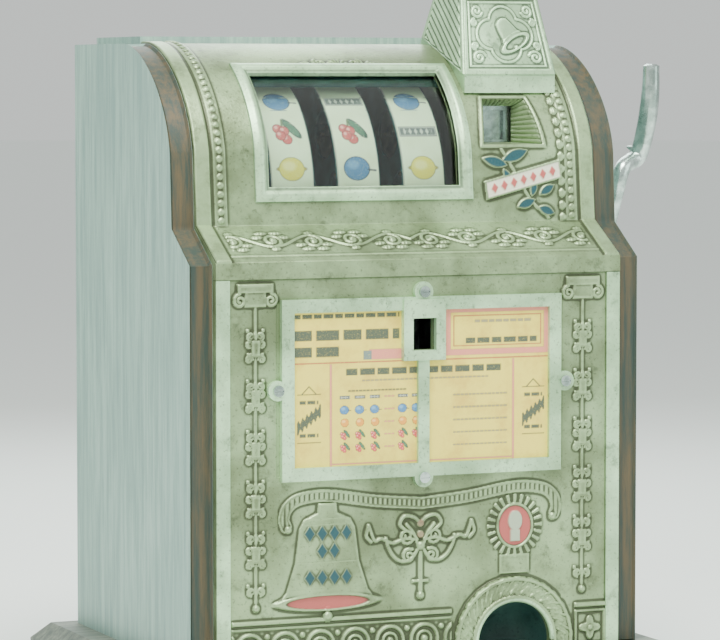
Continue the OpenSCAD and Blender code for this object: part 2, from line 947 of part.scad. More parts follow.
function peg_at(a, side) = [
  lever_y + 38 * cos(a) - side * (5 + peg_r + play) * sin(a),
  lever_z + 38 * sin(a) + side * (5 + peg_r + play) * cos(a)
];
function peg_places() = [peg_at(0, -1), peg_at(lever_pull, 1)];
module stop_arm() {
  color("#7c8580")
    difference() {
      union() {
        rod_x(lever_shaft_r + 6, arm_x, arm_x + 10, lever_y, lever_z);
        box(arm_x, arm_x + 10, lever_y, lever_y + arm_l, lever_z - 5, lever_z + 5);
      }
      rod_x(lever_shaft_r, arm_x - e, arm_x + 12, lever_y, lever_z);
    }
}
module stop_pegs() {
  color("#9aa39b")
    for (p = peg_places())
      rod_x(peg_r, arm_x - 2, inner_x + 8, p[0], p[1]);
}
module kicker() {
  color("#7c8580")
    difference() {
      union() {
        rod_x(lever_shaft_r + 5, left_x + plate_t + play, right_x - play, lever_y, lever_z);
        for (i = [1:3])
          yz(reel_x(i) + star_x - 0.5, reel_x(i) + star_x + 3.5)
            translate([lever_y, lever_z])
              polygon([[-9, 0], [9, 0], [5, 60], [-5, 60]]);
      }
      rod_x(lever_shaft_r, left_x, right_x + 9, lever_y, lever_z);
    }
}
// The return spring: a coil round the shaft, swept along a helix
wire_r = 1.4;
coil_r = lever_shaft_r + 0.4 + wire_r;
coil_turns = 9;
coil_step = 12;
coil_sides = 8;
coil_pitch = 3.4;
coil_x = right_x + plate_t + 3;
function coil_ring(k) = [for (s = [0:coil_sides - 1])
  let (a = k * 360 / coil_step,
       b = s * 360 / coil_sides,
       r = coil_r + wire_r * cos(b))
  [coil_x + k * coil_pitch / coil_step + wire_r * sin(b), lever_y + r * cos(a), lever_z + r * sin(a)]];
module lever_spring() {
  n = coil_turns * coil_step;
  points = [for (k = [0:n]) for (p = coil_ring(k)) p];
  sides = [for (k = [0:n - 1]) for (s = [0:coil_sides - 1])
    let (a = k * coil_sides + s, b = k * coil_sides + (s + 1) % coil_sides)
    [a, b, b + coil_sides, a + coil_sides]];
  ends = [[for (s = [coil_sides - 1:-1:0]) s], [for (s = [0:coil_sides - 1]) n * coil_sides + s]];
  color("#a9b5ad")
    polyhedron(points, concat(sides, ends));
}

base_plinth();
floor_board();
side_board_left();
side_board_right();
top_board();
board_screws();
back_door();
door_hinge_leaves();
cabinet_hinge_leaves();
hinge_pins();
lock_barrel();
lock_cam();
lock_keeper();
head_casting();
window_frame();
reel_glass();
reel_mask();
coin_head();
coin_glass();
front_casting();
award_frame();
award_card();
frame_screws();
payout_cup();
coin_chute();
coin_tube();
slide_bed();
payout_slide();
payout_chute();
cash_box();
mechanism_base();
frame_left();
frame_right();
tie_rods();
reel_shaft();
shaft_collars();
reel_drum_1();
reel_drum_2();
reel_drum_3();
reel_strip_1();
reel_strip_2();
reel_strip_3();
index_wheel_1();
index_wheel_2();
index_wheel_3();
stop_shaft();
stop_lever_1();
stop_lever_2();
stop_lever_3();
clock_case();
governor_fan();
handle();
lever_shaft();
lever_bush();
lever_collar();
stop_arm();
stop_pegs();
kicker();
lever_spring();
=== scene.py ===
"""Looks of a countertop three-reel bell machine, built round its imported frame."""

import json
import logging
import math
from collections.abc import Callable, Sequence
from dataclasses import dataclass, field
from enum import Enum

import bpy
import numpy as np
from numpy.typing import NDArray
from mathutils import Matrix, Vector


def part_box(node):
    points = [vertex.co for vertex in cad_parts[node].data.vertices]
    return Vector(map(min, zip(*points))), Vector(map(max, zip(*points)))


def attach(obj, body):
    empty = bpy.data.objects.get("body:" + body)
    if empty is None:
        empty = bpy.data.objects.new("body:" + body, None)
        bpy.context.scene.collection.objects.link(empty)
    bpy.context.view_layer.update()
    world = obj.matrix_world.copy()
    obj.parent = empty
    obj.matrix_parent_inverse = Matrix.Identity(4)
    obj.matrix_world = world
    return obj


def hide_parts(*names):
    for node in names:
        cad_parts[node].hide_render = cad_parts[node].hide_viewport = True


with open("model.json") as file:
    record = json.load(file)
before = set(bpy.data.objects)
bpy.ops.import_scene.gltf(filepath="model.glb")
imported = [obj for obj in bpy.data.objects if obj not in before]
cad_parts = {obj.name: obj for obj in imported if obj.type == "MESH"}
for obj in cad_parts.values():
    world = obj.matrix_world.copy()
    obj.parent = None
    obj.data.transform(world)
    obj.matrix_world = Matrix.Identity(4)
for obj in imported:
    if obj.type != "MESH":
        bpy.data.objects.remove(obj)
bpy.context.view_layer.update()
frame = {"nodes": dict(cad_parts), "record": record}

Array = NDArray[np.float64]
Faces = NDArray[np.int64]
Mask = NDArray[np.bool_]
Colour = tuple[float, float, float]
Material = bpy.types.Material
Node = bpy.types.Node
Piece = bpy.types.Object
Socket = bpy.types.NodeSocket
Tree = bpy.types.NodeTree

MM = 0.001
GROUND = 0.35  # height of a relief's bare ground over the plain casting, in millimetres
RIM = -0.2  # height of a relief's outermost row, sunk in the plain casting, in millimetres
BLUE: Colour = (0.008, 0.055, 0.07)
RED: Colour = (0.42, 0.09, 0.08)
LOG = logging.getLogger("bell_machine")


# ---- Meshes from whole arrays ----


def grid_faces(rows: int, cols: int, wrap_rows: bool = False, wrap_cols: bool = False) -> Faces:
    """Joins a grid of points into quads whose normal is (along a row) x (along a column).

    Args:
        rows: Number of rows of points.
        cols: Number of points in a row.
        wrap_rows: Whether the last row joins the first.
        wrap_cols: Whether each row's last point joins its first.

    Returns:
        The corner indices, four to a face.
    """
    r = np.arange(rows if wrap_rows else rows - 1)[:, None]
    c = np.arange(cols if wrap_cols else cols - 1)[None, :]
    up, right = (r + 1) % rows, (c + 1) % cols
    corners = (r * cols + c, r * cols + right, up * cols + right, up * cols + c)
    return np.stack([np.broadcast_to(k, (r.size, c.size)) for k in corners], -1).reshape(-1, 4)


def stacked(x: object, y: object, z: object) -> Array:
    """Spreads three coordinates to one shape and joins them along a last axis."""
    return np.stack(np.broadcast_arrays(x, y, z), -1)


def drop_faces(faces: Faces, dropped: Mask) -> tuple[Faces, Faces]:
    """Leaves out some faces, and gives the points still used and the other faces on them."""
    used, corners = np.unique(faces[~dropped], return_inverse=True)
    return used, corners.reshape(-1, faces.shape[1])


def spaced(breaks: Sequence[float], pitch: float) -> Array:
    """Spreads values no further apart than a pitch, so that each break is one of them.

    Args:
        breaks: Rising values that must be hit.
        pitch: Largest step.

    Returns:
        The rising values.
    """
    parts = [
        np.linspace(a, b, max(2, math.ceil((b - a) / pitch) + 1))[:-1]
        for a, b in zip(breaks[:-1], breaks[1:])
    ]
    return np.concatenate([*parts, [breaks[-1]]])


def smooth_path(points: Sequence[Sequence[float]], steps: int = 8) -> Array:
    """Rounds a route by a Catmull-Rom curve: each stretch is a cubic through its two ends.

    Args:
        points: The route's corners.
        steps: Points on each stretch.

    Returns:
        The curve's points, in order.
    """
    p = np.asarray(points, float)
    p = np.vstack([2 * p[0] - p[1], p, 2 * p[-1] - p[-2]])
    t = np.linspace(0, 1, steps, endpoint=False)[:, None]
    stretches = [
        0.5 * ((2 * b) + (c - a) * t + (2 * a - 5 * b + 4 * c - d) * t**2 + (3 * b - a - 3 * c + d) * t**3)
        for a, b, c, d in zip(p[:-3], p[1:-2], p[2:-1], p[3:])
    ]
    return np.vstack([*stretches, p[-2:-1]])


def add_object(name: str, data: bpy.types.ID) -> Piece:
    """Makes an object of a mesh, lamp or camera and puts it in the scene."""
    thing = bpy.data.objects.new(name, data)
    bpy.context.scene.collection.objects.link(thing)
    return thing


def build(
    name: str,
    points: Array,
    faces: Sequence[Faces],
    material: Material,
    body: str = "cabinet",
    sharp: float | None = 40.0,
    attributes: dict[str, Array] | None = None,
) -> Piece:
    """Makes a piece from arrays of points and faces, and ties it to its body and slot.

    Args:
        name: The piece's name.
        points: Corners in metres, three numbers each.
        faces: Arrays of corner indices, one array for each number of corners.
        material: Its finish.
        body: The body that it moves with.
        sharp: Angle in degrees past which an edge is crisp, or None for none.
        attributes: Values of one number or four for each point.

    Returns:
        The piece.
    """
    mesh = bpy.data.meshes.new(name)
    counts = np.concatenate([np.full(len(f), f.shape[1]) for f in faces])
    corners = np.concatenate([f.ravel() for f in faces]).astype(np.int32)
    mesh.vertices.add(len(points))
    mesh.vertices.foreach_set("co", np.asarray(points, np.float32).ravel())
    mesh.loops.add(len(corners))
    mesh.loops.foreach_set("vertex_index", corners)
    mesh.polygons.add(len(counts))
    mesh.polygons.foreach_set("loop_start", (np.cumsum(counts) - counts).astype(np.int32))
    mesh.update(calc_edges=True)
    mesh.validate()
    mesh.polygons.foreach_set("use_smooth", np.ones(len(mesh.polygons), bool))
    if sharp is not None:
        mesh.set_sharp_from_angle(angle=math.radians(sharp))
    for key, values in (attributes or {}).items():
        kind, member = ("FLOAT_COLOR", "color") if values.ndim == 2 else ("FLOAT", "value")
        layer = mesh.attributes.new(key, kind, "POINT")
        layer.data.foreach_set(member, values.astype(np.float32).ravel())
    mesh.materials.append(material)
    piece = add_object(name, mesh)
    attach(piece, body)
    return piece


def closed_sweep(
    rings: Array, ends: Array | None = None, turned: bool = False
) -> tuple[Array, list[Faces]]:
    """Skins a row of rings and closes both ends with a fan.

    Args:
        rings: Points by ring, by place round the ring, by coordinate.
        ends: The middles of the two fans, or None for the middles of the rings there.
        turned: Whether the rings run the other way round.

    Returns:
        The points, and the faces.
    """
    n, m, _ = rings.shape
    middles = (rings[0].mean(0), rings[-1].mean(0)) if ends is None else ends
    points = np.vstack([rings.reshape(-1, 3), *middles])
    i = np.arange(m)
    j = (i + 1) % m
    first = np.stack([i, np.full(m, n * m), j], -1)
    last = np.stack([(n - 1) * m + i, (n - 1) * m + j, np.full(m, n * m + 1)], -1)
    faces = [grid_faces(n, m, wrap_cols=True), first, last]
    return points, [f[:, ::-1] for f in faces] if turned else faces


def bare_metal(crest: Array) -> dict[str, Array]:
    """Gives a casting's mesh values: how far each point stands up, and no enamel."""
    return {"crest": crest.ravel(), "enamel": np.zeros((crest.size, 4))}


# ---- Relief drawn as signed distances, in millimetres ----


def smooth_step(low: float, high: float, value: Array) -> Array:
    """Rises from 0 at low to 1 at high along 3t^2 - 2t^3."""
    t = np.clip((value - low) / (high - low), 0, 1)
    return t * t * (3 - 2 * t)


def inside(distance: Array, soft: float = 0.6) -> Array:
    """Is 1 where a signed distance is under -soft and 0 where it is over soft."""
    return 1 - smooth_step(-soft, soft, distance)


def cord_height(distance: Array, radius: float) -> Array:
    """Height of a round cord of a radius at a distance from its line: sqrt(r^2 - d^2)."""
    return np.sqrt(np.clip(radius**2 - distance**2, 0, None))


def to_line(u: Array, v: Array, points: Array) -> Array:
    """Finds the distance to a line of short stretches.

    Args:
        u: First coordinate of the places.
        v: Second coordinate of the places.
        points: The line's points.

    Returns:
        Distance to the nearest stretch: to its foot point, with the foot kept between its ends.
    """
    best = np.full(u.shape, 1e3)
    for a, b in zip(points[:-1], points[1:]):
        d = b - a
        t = np.clip(((u - a[0]) * d[0] + (v - a[1]) * d[1]) / max(d @ d, 1e-9), 0, 1)
        best = np.minimum(best, np.hypot(u - a[0] - t * d[0], v - a[1] - t * d[1]))
    return best


def to_disc(u: Array, v: Array, x: float, y: float, radius: float) -> Array:
    """Signed distance to a disc: the distance to its middle less its radius."""
    return np.hypot(u - x, v - y) - radius


def to_oval(u: Array, v: Array, x: float, y: float, a: float, b: float) -> Array:
    """Signed distance to an oval, near enough: (scaled radius - 1) times the lesser half-axis."""
    return (np.hypot((u - x) / a, (v - y) / b) - 1) * min(a, b)


def to_box(u: Array, v: Array, x0: float, x1: float, y0: float, y1: float) -> Array:
    """Signed distance to a box, along its nearest side."""
    return np.maximum(np.abs(u - (x0 + x1) / 2) - (x1 - x0) / 2, np.abs(v - (y0 + y1) / 2) - (y1 - y0) / 2)


def scroll(u: Array, v: Array, x: float, y: float, radius: float, hand: int, start: float = 0.0) -> Array:
    """Distance to a spiral that winds in from a radius: r = radius * (1 - 0.8 t) over one and a half turns.

    Args:
        u: First coordinate of the places.
        v: Second coordinate of the places.
        x: The spiral's middle.
        y: The spiral's middle.
        radius: Radius at its mouth.
        hand: 1 to wind anticlockwise, -1 clockwise.
        start: Angle of its mouth in degrees.

    Returns:
        The distance.
    """
    t = np.linspace(0, 1, 18)
    a = math.radians(start) + hand * t * 3 * math.pi
    r = radius * (1 - 0.8 * t)
    return to_line(u, v, np.stack([x + r * np.cos(a), y + r * np.sin(a)], -1))


def lay_colour(layer: Array, mask: Array, colour: Colour) -> None:
    """Lays a colour on a layer of colour and coverage, where a mask is near 1."""
    m = mask[..., None]
    layer[..., :3] = layer[..., :3] * (1 - m) + np.asarray(colour) * m
    layer[..., 3:] = np.maximum(layer[..., 3:], m)


@dataclass
class Relief:
    """Height above a ground, with enamel laid on it, and an added lift of the crest value that lightens
    rubbed places and paints highlights.
    """

    height: Array
    enamel: Array
    # lift of the crest value: lightening of the mouth ring's inner rim, and a painted highlight on the
    # head's side rims
    wear_and_highlight: Array

    @staticmethod
    def flat(u: Array) -> "Relief":
        """Starts a bare ground."""
        return Relief(np.zeros(u.shape), np.zeros((*u.shape, 4)), np.zeros(u.shape))

    def raise_to(self, height: Array) -> None:
        """Keeps the higher of the ground and a shape."""
        self.height = np.maximum(self.height, height)

    def paint(self, mask: Array, colour: Colour) -> None:
        """Lays enamel of a colour where a mask is near 1."""
        lay_colour(self.enamel, mask, colour)


def cavities(height: Array, reach: int = 4) -> Array:
    """Finds hollows and crests: the height less its mean over a square of 2 reach + 1 places.

    Args:
        height: Heights on a grid.
        reach: Half-width of the square.

    Returns:
        0.5 on a level, less in a hollow, more on a crest.
    """
    padded = np.pad(height, reach, mode="edge")
    total = np.pad(padded, ((1, 0), (1, 0))).cumsum(0).cumsum(1)
    w = 2 * reach + 1
    mean = (total[w:, w:] - total[:-w, w:] - total[w:, :-w] + total[:-w, :-w]) / w**2
    return np.clip(0.5 + 0.8 * (height - mean), 0, 1)


def relief_sheet(
    name: str,
    us: Array,
    vs: Array,
    draw: Callable[[Array, Array], Relief],
    place: Callable[[Array, Array, Array], Array],
    material: Material,
    body: str = "cabinet",
    hole: Callable[[Array, Array], Mask] | None = None,
    joined: Callable[[Array, Array], Mask] | None = None,
) -> Piece:
    """Carries a drawn relief onto a surface as one sheet, with its rim turned down into the ground.

    Args:
        name: The piece's name.
        us: Rising first coordinates.
        vs: Rising second coordinates.
        draw: Gives the relief at (u, v).
        place: Gives the point at (u, v, height above the ground).
        material: Its finish.
        body: The body that it moves with.
        hole: Tells which cells are left out, from their middles.
        joined: Tells where the rim meets another sheet and stays up.

    Returns:
        The piece.
    """
    u, v = np.meshgrid(us, vs)
    relief = draw(u, v)
    edge = np.zeros(u.shape, bool)
    edge[0], edge[-1], edge[:, 0], edge[:, -1] = True, True, True, True
    if joined is not None:
        edge &= ~joined(u, v)
    points = place(u, v, np.where(edge, RIM, relief.height + GROUND)).reshape(-1, 3)
    faces = grid_faces(*u.shape)
    dropped = np.zeros(len(faces), bool)
    if hole is not None:
        dropped = hole(u.ravel()[faces].mean(1), v.ravel()[faces].mean(1))
    used, faces = drop_faces(faces, dropped)
    attributes = {
        "enamel": relief.enamel.reshape(-1, 4)[used],
        # the crest takes the added lift too, which paints the highlight on the head's side rims
        "crest": np.clip(cavities(relief.height) + relief.wear_and_highlight, 0, 1).ravel()[used],
    }
    return build(name, points[used], [faces], material, body, None, attributes)


# ---- Sizes of the cabinet, from the frame ----


@dataclass
class Cabinet:
    """Places that the whole machine is laid out from, in metres.

    Pairs are (back from the front, down from the top).
    """

    top: float = field(default_factory=lambda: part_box("side_board_left")[1][2])
    foot: float = field(default_factory=lambda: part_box("side_board_left")[0][2])
    front: float = field(default_factory=lambda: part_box("side_board_left")[0][1])
    rear: float = field(default_factory=lambda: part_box("side_board_left")[1][1])
    cast_half: float = field(default_factory=lambda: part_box("head_casting")[1][0])
    band_front: float = field(default_factory=lambda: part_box("head_casting")[0][1])
    fullness: float = 1.72
    brow_start: float = 0.150
    brow_depth: float = 0.107
    brow_height: float = 0.093
    band_drop: float = 0.1715
    shoulder: tuple[float, float] = (0.038, 0.1445)
    board_shoulder: tuple[float, float] = (0.040, 0.146)
    board_drop: float = 0.173
    skin_end: float = 0.165

    def brow(self, steps: int = 48) -> Array:
        """Gives the brow's curve in (y, z): its depth times cos^(2/n) by its height times sin^(2/n)."""
        a = np.linspace(0, math.pi / 2, steps)
        power = 2 / self.fullness
        y = self.front + self.brow_start - self.brow_depth * np.clip(np.cos(a), 0, None) ** power
        z = self.top - self.brow_height + self.brow_height * np.sin(a) ** power
        return np.stack([y, z], -1)

    def head_line(self) -> Array:
        """Gives the head casting's surface in (y, z), from the band's upper edge to the top."""
        back, down = self.shoulder
        lower = [[self.band_front, self.top - self.band_drop], [self.front + back, self.top - down]]
        return np.vstack([lower, self.brow(), [[self.front + self.skin_end, self.top]]])

    def board_line(self) -> Array:
        """Gives a side board's outline in (y, z), round from its lower rear corner."""
        back, down = self.board_shoulder
        lower = [
            [self.rear, self.foot],
            [self.front, self.foot],
            [self.front, self.top - self.board_drop],
            [self.front + back, self.top - down],
        ]
        return np.vstack([lower, self.brow(), [[self.rear, self.top]]])


class HeadSurface:
    """The head casting's skin as a sheet of x and distance along its curve, in millimetres."""

    def __init__(self, cabinet: Cabinet) -> None:
        """Measures the curve: distances add up along it, and normals are its tangents turned a quarter."""
        line = cabinet.head_line()
        step = np.hypot(*np.diff(line, axis=0).T)
        along = np.concatenate([[0], step.cumsum()])
        self.s = np.linspace(0, along[-1], 900)
        self.y = np.interp(self.s, along, line[:, 0])
        self.z = np.interp(self.s, along, line[:, 1])
        ty, tz = np.gradient(self.y), np.gradient(self.z)
        kernel = np.ones(9) / 9
        ty = np.convolve(np.pad(ty, 4, mode="edge"), kernel, "valid")
        tz = np.convolve(np.pad(tz, 4, mode="edge"), kernel, "valid")
        length = np.hypot(ty, tz)
        self.ny, self.nz = -tz / length, ty / length
        self.total = float(self.s[-1]) / MM

    def at(self, x: Array, s: Array, height: Array) -> Array:
        """Places a point: the curve's point at s, moved by the height along the normal.

        Args:
            x: Across, in millimetres.
            s: Along the curve, in millimetres.
            height: Above the skin, in millimetres.

        Returns:
            The points in metres.
        """
        d = s * MM
        h = height * MM
        y = np.interp(d, self.s, self.y) + h * np.interp(d, self.s, self.ny)
        z = np.interp(d, self.s, self.z) + h * np.interp(d, self.s, self.nz)
        return stacked(x * MM, y, z)

    def s_of(self, z: float) -> float:
        """Gives the distance along the curve, in millimetres, at a height in metres."""
        return float(np.interp(z, self.z, self.s)) / MM


# ---- Finishes ----


class Graph:
    """Places and joins the nodes of a material or a node group."""

    def __init__(self, tree: Tree) -> None:
        """Holds the tree."""
        self.tree = tree

    def put(self, kind: str, **settings: object) -> Node:
        """Adds a node and sets its properties.

        Args:
            kind: The node's type, without the ShaderNode in front of it.
            settings: Properties by name.

        Returns:
            The node.
        """
        node = self.tree.nodes.new("ShaderNode" + kind)
        for key, value in settings.items():
            setattr(node, key, value)
        return node

    def join(self, source: Socket, target: Socket) -> None:
        """Links two sockets."""
        self.tree.links.new(source, target)

    def noise(self, where: Socket, scale: float, detail: float, rough: float) -> Socket:
        """Adds a noise pattern and gives its value."""
        node = self.put("TexNoise")
        node.inputs["Scale"].default_value = scale
        node.inputs["Detail"].default_value = detail
        node.inputs["Roughness"].default_value = rough
        self.join(where, node.inputs["Vector"])
        return node.outputs["Fac"]

    def ramp(self, value: Socket, low: float, high: float) -> Socket:
        """Stretches a value so that low becomes 0 and high becomes 1, smoothly."""
        node = self.put("MapRange", interpolation_type="SMOOTHSTEP")
        node.inputs["From Min"].default_value = low
        node.inputs["From Max"].default_value = high
        self.join(value, node.inputs["Value"])
        return node.outputs["Result"]

    def spread(self, value: Socket, first: float, last: float) -> Socket:
        """Carries a value from 0 to 1 straight onto the span from first to last."""
        node = self.put("MapRange")
        node.inputs["To Min"].default_value = first
        node.inputs["To Max"].default_value = last
        self.join(value, node.inputs["Value"])
        return node.outputs["Result"]

    def feed(self, socket: Socket, value: object) -> None:
        """Gives a socket what it reads: another socket, a colour or a number."""
        if isinstance(value, Socket):
            self.join(value, socket)
        else:
            socket.default_value = (*value, 1.0) if isinstance(value, tuple) else value

    def mix(self, share: object, a: object, b: object) -> Socket:
        """Mixes two colours, each a socket or a colour, by a share."""
        node = self.put("Mix", data_type="RGBA")
        for place, value in ((0, share), (6, a), (7, b)):
            self.feed(node.inputs[place], value)
        return node.outputs[2]

    def sum(self, a: object, b: object, kind: str) -> Socket:
        """Does a sum with two numbers, each a socket or a number."""
        node = self.put("Math", operation=kind)
        for place, value in enumerate((a, b)):
            self.feed(node.inputs[place], value)
        return node.outputs[0]

    def times(self, a: object, b: object) -> Socket:
        """Multiplies two numbers, each a socket or a number."""
        return self.sum(a, b, "MULTIPLY")

    def group(self, tree: Tree, **colours: Colour) -> Node:
        """Adds a shared group and sets its colours."""
        node = self.put("Group", node_tree=tree)
        for label, colour in colours.items():
            self.feed(node.inputs[label], colour)
        return node

    def attribute(self, name: str) -> Node:
        """Adds a value carried by the mesh."""
        return self.put("Attribute", attribute_name=name)

    def stretched(self, scale: Colour) -> Socket:
        """Gives the object's own coordinates, stretched along each axis."""
        where = self.put("TexCoord")
        node = self.put("Mapping")
        node.inputs["Scale"].default_value = scale
        self.join(where.outputs["Object"], node.inputs["Vector"])
        return node.outputs["Vector"]


def shared_group(
    name: str, inputs: Sequence[tuple[str, str]], outputs: Sequence[tuple[str, str]]
) -> tuple[Graph, Node, Node]:
    """Starts a node group with named inputs and outputs.

    Args:
        name: The group's name.
        inputs: Name and type of each input, as Float, Color or Vector.
        outputs: Name and type of each output.

    Returns:
        The group's graph, its input node and its output node.
    """
    tree = bpy.data.node_groups.new(name, "ShaderNodeTree")
    for side, sockets in (("INPUT", inputs), ("OUTPUT", outputs)):
        for label, kind in sockets:
            tree.interface.new_socket(label, in_out=side, socket_type="NodeSocket" + kind)
    return Graph(tree), tree.nodes.new("NodeGroupInput"), tree.nodes.new("NodeGroupOutput")


def patina_group() -> Tree:
    """Builds the stain of old cast metal: broad clouds, small pits and rubbed crests.

    Returns:
        The group, with Light, Middle, Dark and Crest in, and Colour, Pits and Rubbed out.
    """
    graph, given, out = shared_group(
        "old_cast_stain",
        [("Light", "Color"), ("Middle", "Color"), ("Dark", "Color"), ("Crest", "Float")],
        [("Colour", "Color"), ("Pits", "Float"), ("Rubbed", "Float")],
    )
    where = graph.stretched((1, 1, 1))
    clouds = graph.noise(where, 14, 6, 0.6)
    grain = graph.noise(where, 420, 3, 0.6)
    blots = graph.noise(where, 60, 5, 0.7)
    light, middle, dark, crest = (given.outputs[label] for label in ("Light", "Middle", "Dark", "Crest"))
    rubbed = graph.times(graph.ramp(crest, 0.52, 0.78), graph.ramp(blots, 0.3, 0.6))
    colour = graph.mix(graph.ramp(clouds, 0.35, 0.68), middle, light)
    for share, strength, over in (
        (graph.ramp(blots, 0.55, 0.72), 0.5, dark),
        (graph.ramp(grain, 0.56, 0.72), 0.5, dark),
        (rubbed, 0.85, light),
        (graph.ramp(crest, 0.48, 0.22), 0.85, dark),
    ):
        colour = graph.mix(graph.times(share, strength), colour, over)
    graph.join(colour, out.inputs["Colour"])
    graph.join(grain, out.inputs["Pits"])
    graph.join(rubbed, out.inputs["Rubbed"])
    return graph.tree


def grain_group() -> Tree:
    """Builds the grain of quartered oak: long fibres, pores and broad weathering.

    Returns:
        The group, with Pale, Dark and Where in, and Colour and Height out.
    """
    graph, given, out = shared_group(
        "oak_grain",
        [("Pale", "Color"), ("Dark", "Color"), ("Where", "Vector")],
        [("Colour", "Color"), ("Height", "Float")],
    )
    fibres = graph.noise(given.outputs["Where"], 150, 8, 0.75)
    pores = graph.noise(given.outputs["Where"], 420, 3, 0.6)
    clouds = graph.noise(graph.stretched((1, 1, 0.5)), 12, 4, 0.6)
    pale, dark = given.outputs["Pale"], given.outputs["Dark"]
    base = graph.mix(graph.ramp(fibres, 0.36, 0.64), dark, pale)
    marked = graph.mix(graph.times(graph.ramp(pores, 0.56, 0.7), 0.4), base, dark)
    weathered = graph.mix(graph.times(graph.ramp(clouds, 0.62, 0.3), 0.35), marked, dark)
    graph.join(weathered, out.inputs["Colour"])
    graph.join(fibres, out.inputs["Height"])
    return graph.tree


def new_material(name: str) -> tuple[Material, Graph, Node]:
    """Starts a material.

    Args:
        name: Its name.

    Returns:
        The material, its graph, and its Principled shader.
    """
    material = bpy.data.materials.new(name)
    material.use_nodes = True
    shader = material.node_tree.nodes["Principled BSDF"]
    return material, Graph(material.node_tree), shader


def add_bump(graph: Graph, shader: Node, height: Socket, depth: float, strength: float) -> None:
    """Makes a height pattern show as fine relief.

    Args:
        graph: The material's graph.
        shader: Its shader.
        height: The pattern, 0 to 1.
        depth: Its depth in metres.
        strength: How much of it shows.
    """
    bump = graph.put("Bump")
    bump.inputs["Distance"].default_value = depth
    bump.inputs["Strength"].default_value = strength
    graph.join(height, bump.inputs["Height"])
    graph.join(bump.outputs["Normal"], shader.inputs["Normal"])


@dataclass(frozen=True)
class CastFinish:
    """Old cast metal, rubbed bright on its crests, with enamel where the relief carries it."""

    name: str
    light: Colour
    middle: Colour
    dark: Colour
    metallic: float = 0.55
    roughness: tuple[float, float] = (0.26, 0.52)
    depth: float = 0.0004
    relief: bool = True

    def make(self, stain: Tree) -> Material:
        """Builds the material.

        Args:
            stain: The shared stain group.

        Returns:
            The material.
        """
        material, graph, shader = new_material(self.name)
        group = graph.group(stain, Light=self.light, Middle=self.middle, Dark=self.dark)
        group.inputs["Crest"].default_value = 0.5
        polished, dull = self.roughness
        if self.relief:
            graph.join(graph.attribute("crest").outputs["Fac"], group.inputs["Crest"])
            enamel = graph.attribute("enamel")
            colour = graph.mix(enamel.outputs["Alpha"], group.outputs["Colour"], enamel.outputs["Color"])
            bare = graph.sum(1.0, enamel.outputs["Alpha"], "SUBTRACT")
            graph.join(colour, shader.inputs["Base Color"])
            graph.join(graph.times(bare, self.metallic), shader.inputs["Metallic"])
        else:
            graph.join(group.outputs["Colour"], shader.inputs["Base Color"])
            shader.inputs["Metallic"].default_value = self.metallic
        graph.join(graph.spread(group.outputs["Pits"], dull, polished), shader.inputs["Roughness"])
        add_bump(graph, shader, group.outputs["Pits"], self.depth, 0.5)
        return material


@dataclass(frozen=True)
class OakFinish:
    """Weathered oak, with a rubbed and darker edge where the mesh marks one."""

    name: str
    pale: Colour
    dark: Colour
    edge_pale: Colour | None = None
    edge_dark: Colour | None = None
    along: Colour = (1.0, 1.0, 0.06)

    def make(self, grain: Tree) -> Material:
        """Builds the material.

        Args:
            grain: The shared grain group.

        Returns:
            The material.
        """
        material, graph, shader = new_material(self.name)
        where = graph.stretched(self.along)
        group = graph.group(grain, Pale=self.pale, Dark=self.dark)
        graph.join(where, group.inputs["Where"])
        colour = group.outputs["Colour"]
        if self.edge_pale and self.edge_dark:
            rim = graph.group(grain, Pale=self.edge_pale, Dark=self.edge_dark)
            graph.join(where, rim.inputs["Where"])
            colour = graph.mix(graph.attribute("edge").outputs["Fac"], colour, rim.outputs["Colour"])
        graph.join(colour, shader.inputs["Base Color"])
        shader.inputs["Roughness"].default_value = 0.55
        add_bump(graph, shader, group.outputs["Height"], 0.0004, 0.45)
        return material


@dataclass(frozen=True)
class SheetMetalFinish:
    """Turned, drawn or plated metal, with fine marks and dull patches."""

    name: str
    light: Colour
    dark: Colour
    metallic: float = 0.9
    roughness: tuple[float, float] = (0.22, 0.42)
    scale: float = 60.0

    def make(self) -> Material:
        """Builds the material."""
        material, graph, shader = new_material(self.name)
        where = graph.stretched((1, 1, 1))
        patches = graph.noise(where, self.scale, 5, 0.65)
        marks = graph.noise(where, 700, 2, 0.5)
        colour = graph.mix(graph.ramp(patches, 0.38, 0.62), self.dark, self.light)
        polished, dull = self.roughness
        graph.join(colour, shader.inputs["Base Color"])
        graph.join(graph.spread(patches, dull, polished), shader.inputs["Roughness"])
        shader.inputs["Metallic"].default_value = self.metallic
        add_bump(graph, shader, marks, 0.0001, 0.3)
        return material


@dataclass(frozen=True)
class PrintFinish:
    """Aged paper, with print carried by the mesh."""

    name: str
    paper: Colour
    stain: Colour
    gloss: float = 0.5

    def make(self) -> Material:
        """Builds the material."""
        material, graph, shader = new_material(self.name)
        where = graph.stretched((1, 1, 1))
        blots = graph.ramp(graph.noise(where, 45, 5, 0.65), 0.4, 0.75)
        fibres = graph.noise(where, 900, 2, 0.5)
        ink = graph.attribute("ink")
        paper = graph.mix(blots, self.paper, self.stain)
        worn = graph.times(ink.outputs["Alpha"], graph.ramp(fibres, 1.1, 0.5))
        graph.join(graph.mix(worn, paper, ink.outputs["Color"]), shader.inputs["Base Color"])
        shader.inputs["Roughness"].default_value = self.gloss
        add_bump(graph, shader, fibres, 0.00008, 0.4)
        return material


@dataclass(frozen=True)
class GlassFinish:
    """Old window glass with a thin film of dust."""

    name: str
    tint: Colour

    def make(self) -> Material:
        """Builds the material."""
        material, graph, shader = new_material(self.name)
        dust = graph.noise(graph.stretched((1, 1, 1)), 35, 5, 0.6)
        graph.join(graph.spread(dust, 0.02, 0.12), shader.inputs["Roughness"])
        shader.inputs["Base Color"].default_value = (*self.tint, 1.0)
        shader.inputs["Transmission Weight"].default_value = 1.0
        shader.inputs["IOR"].default_value = 1.5
        return material


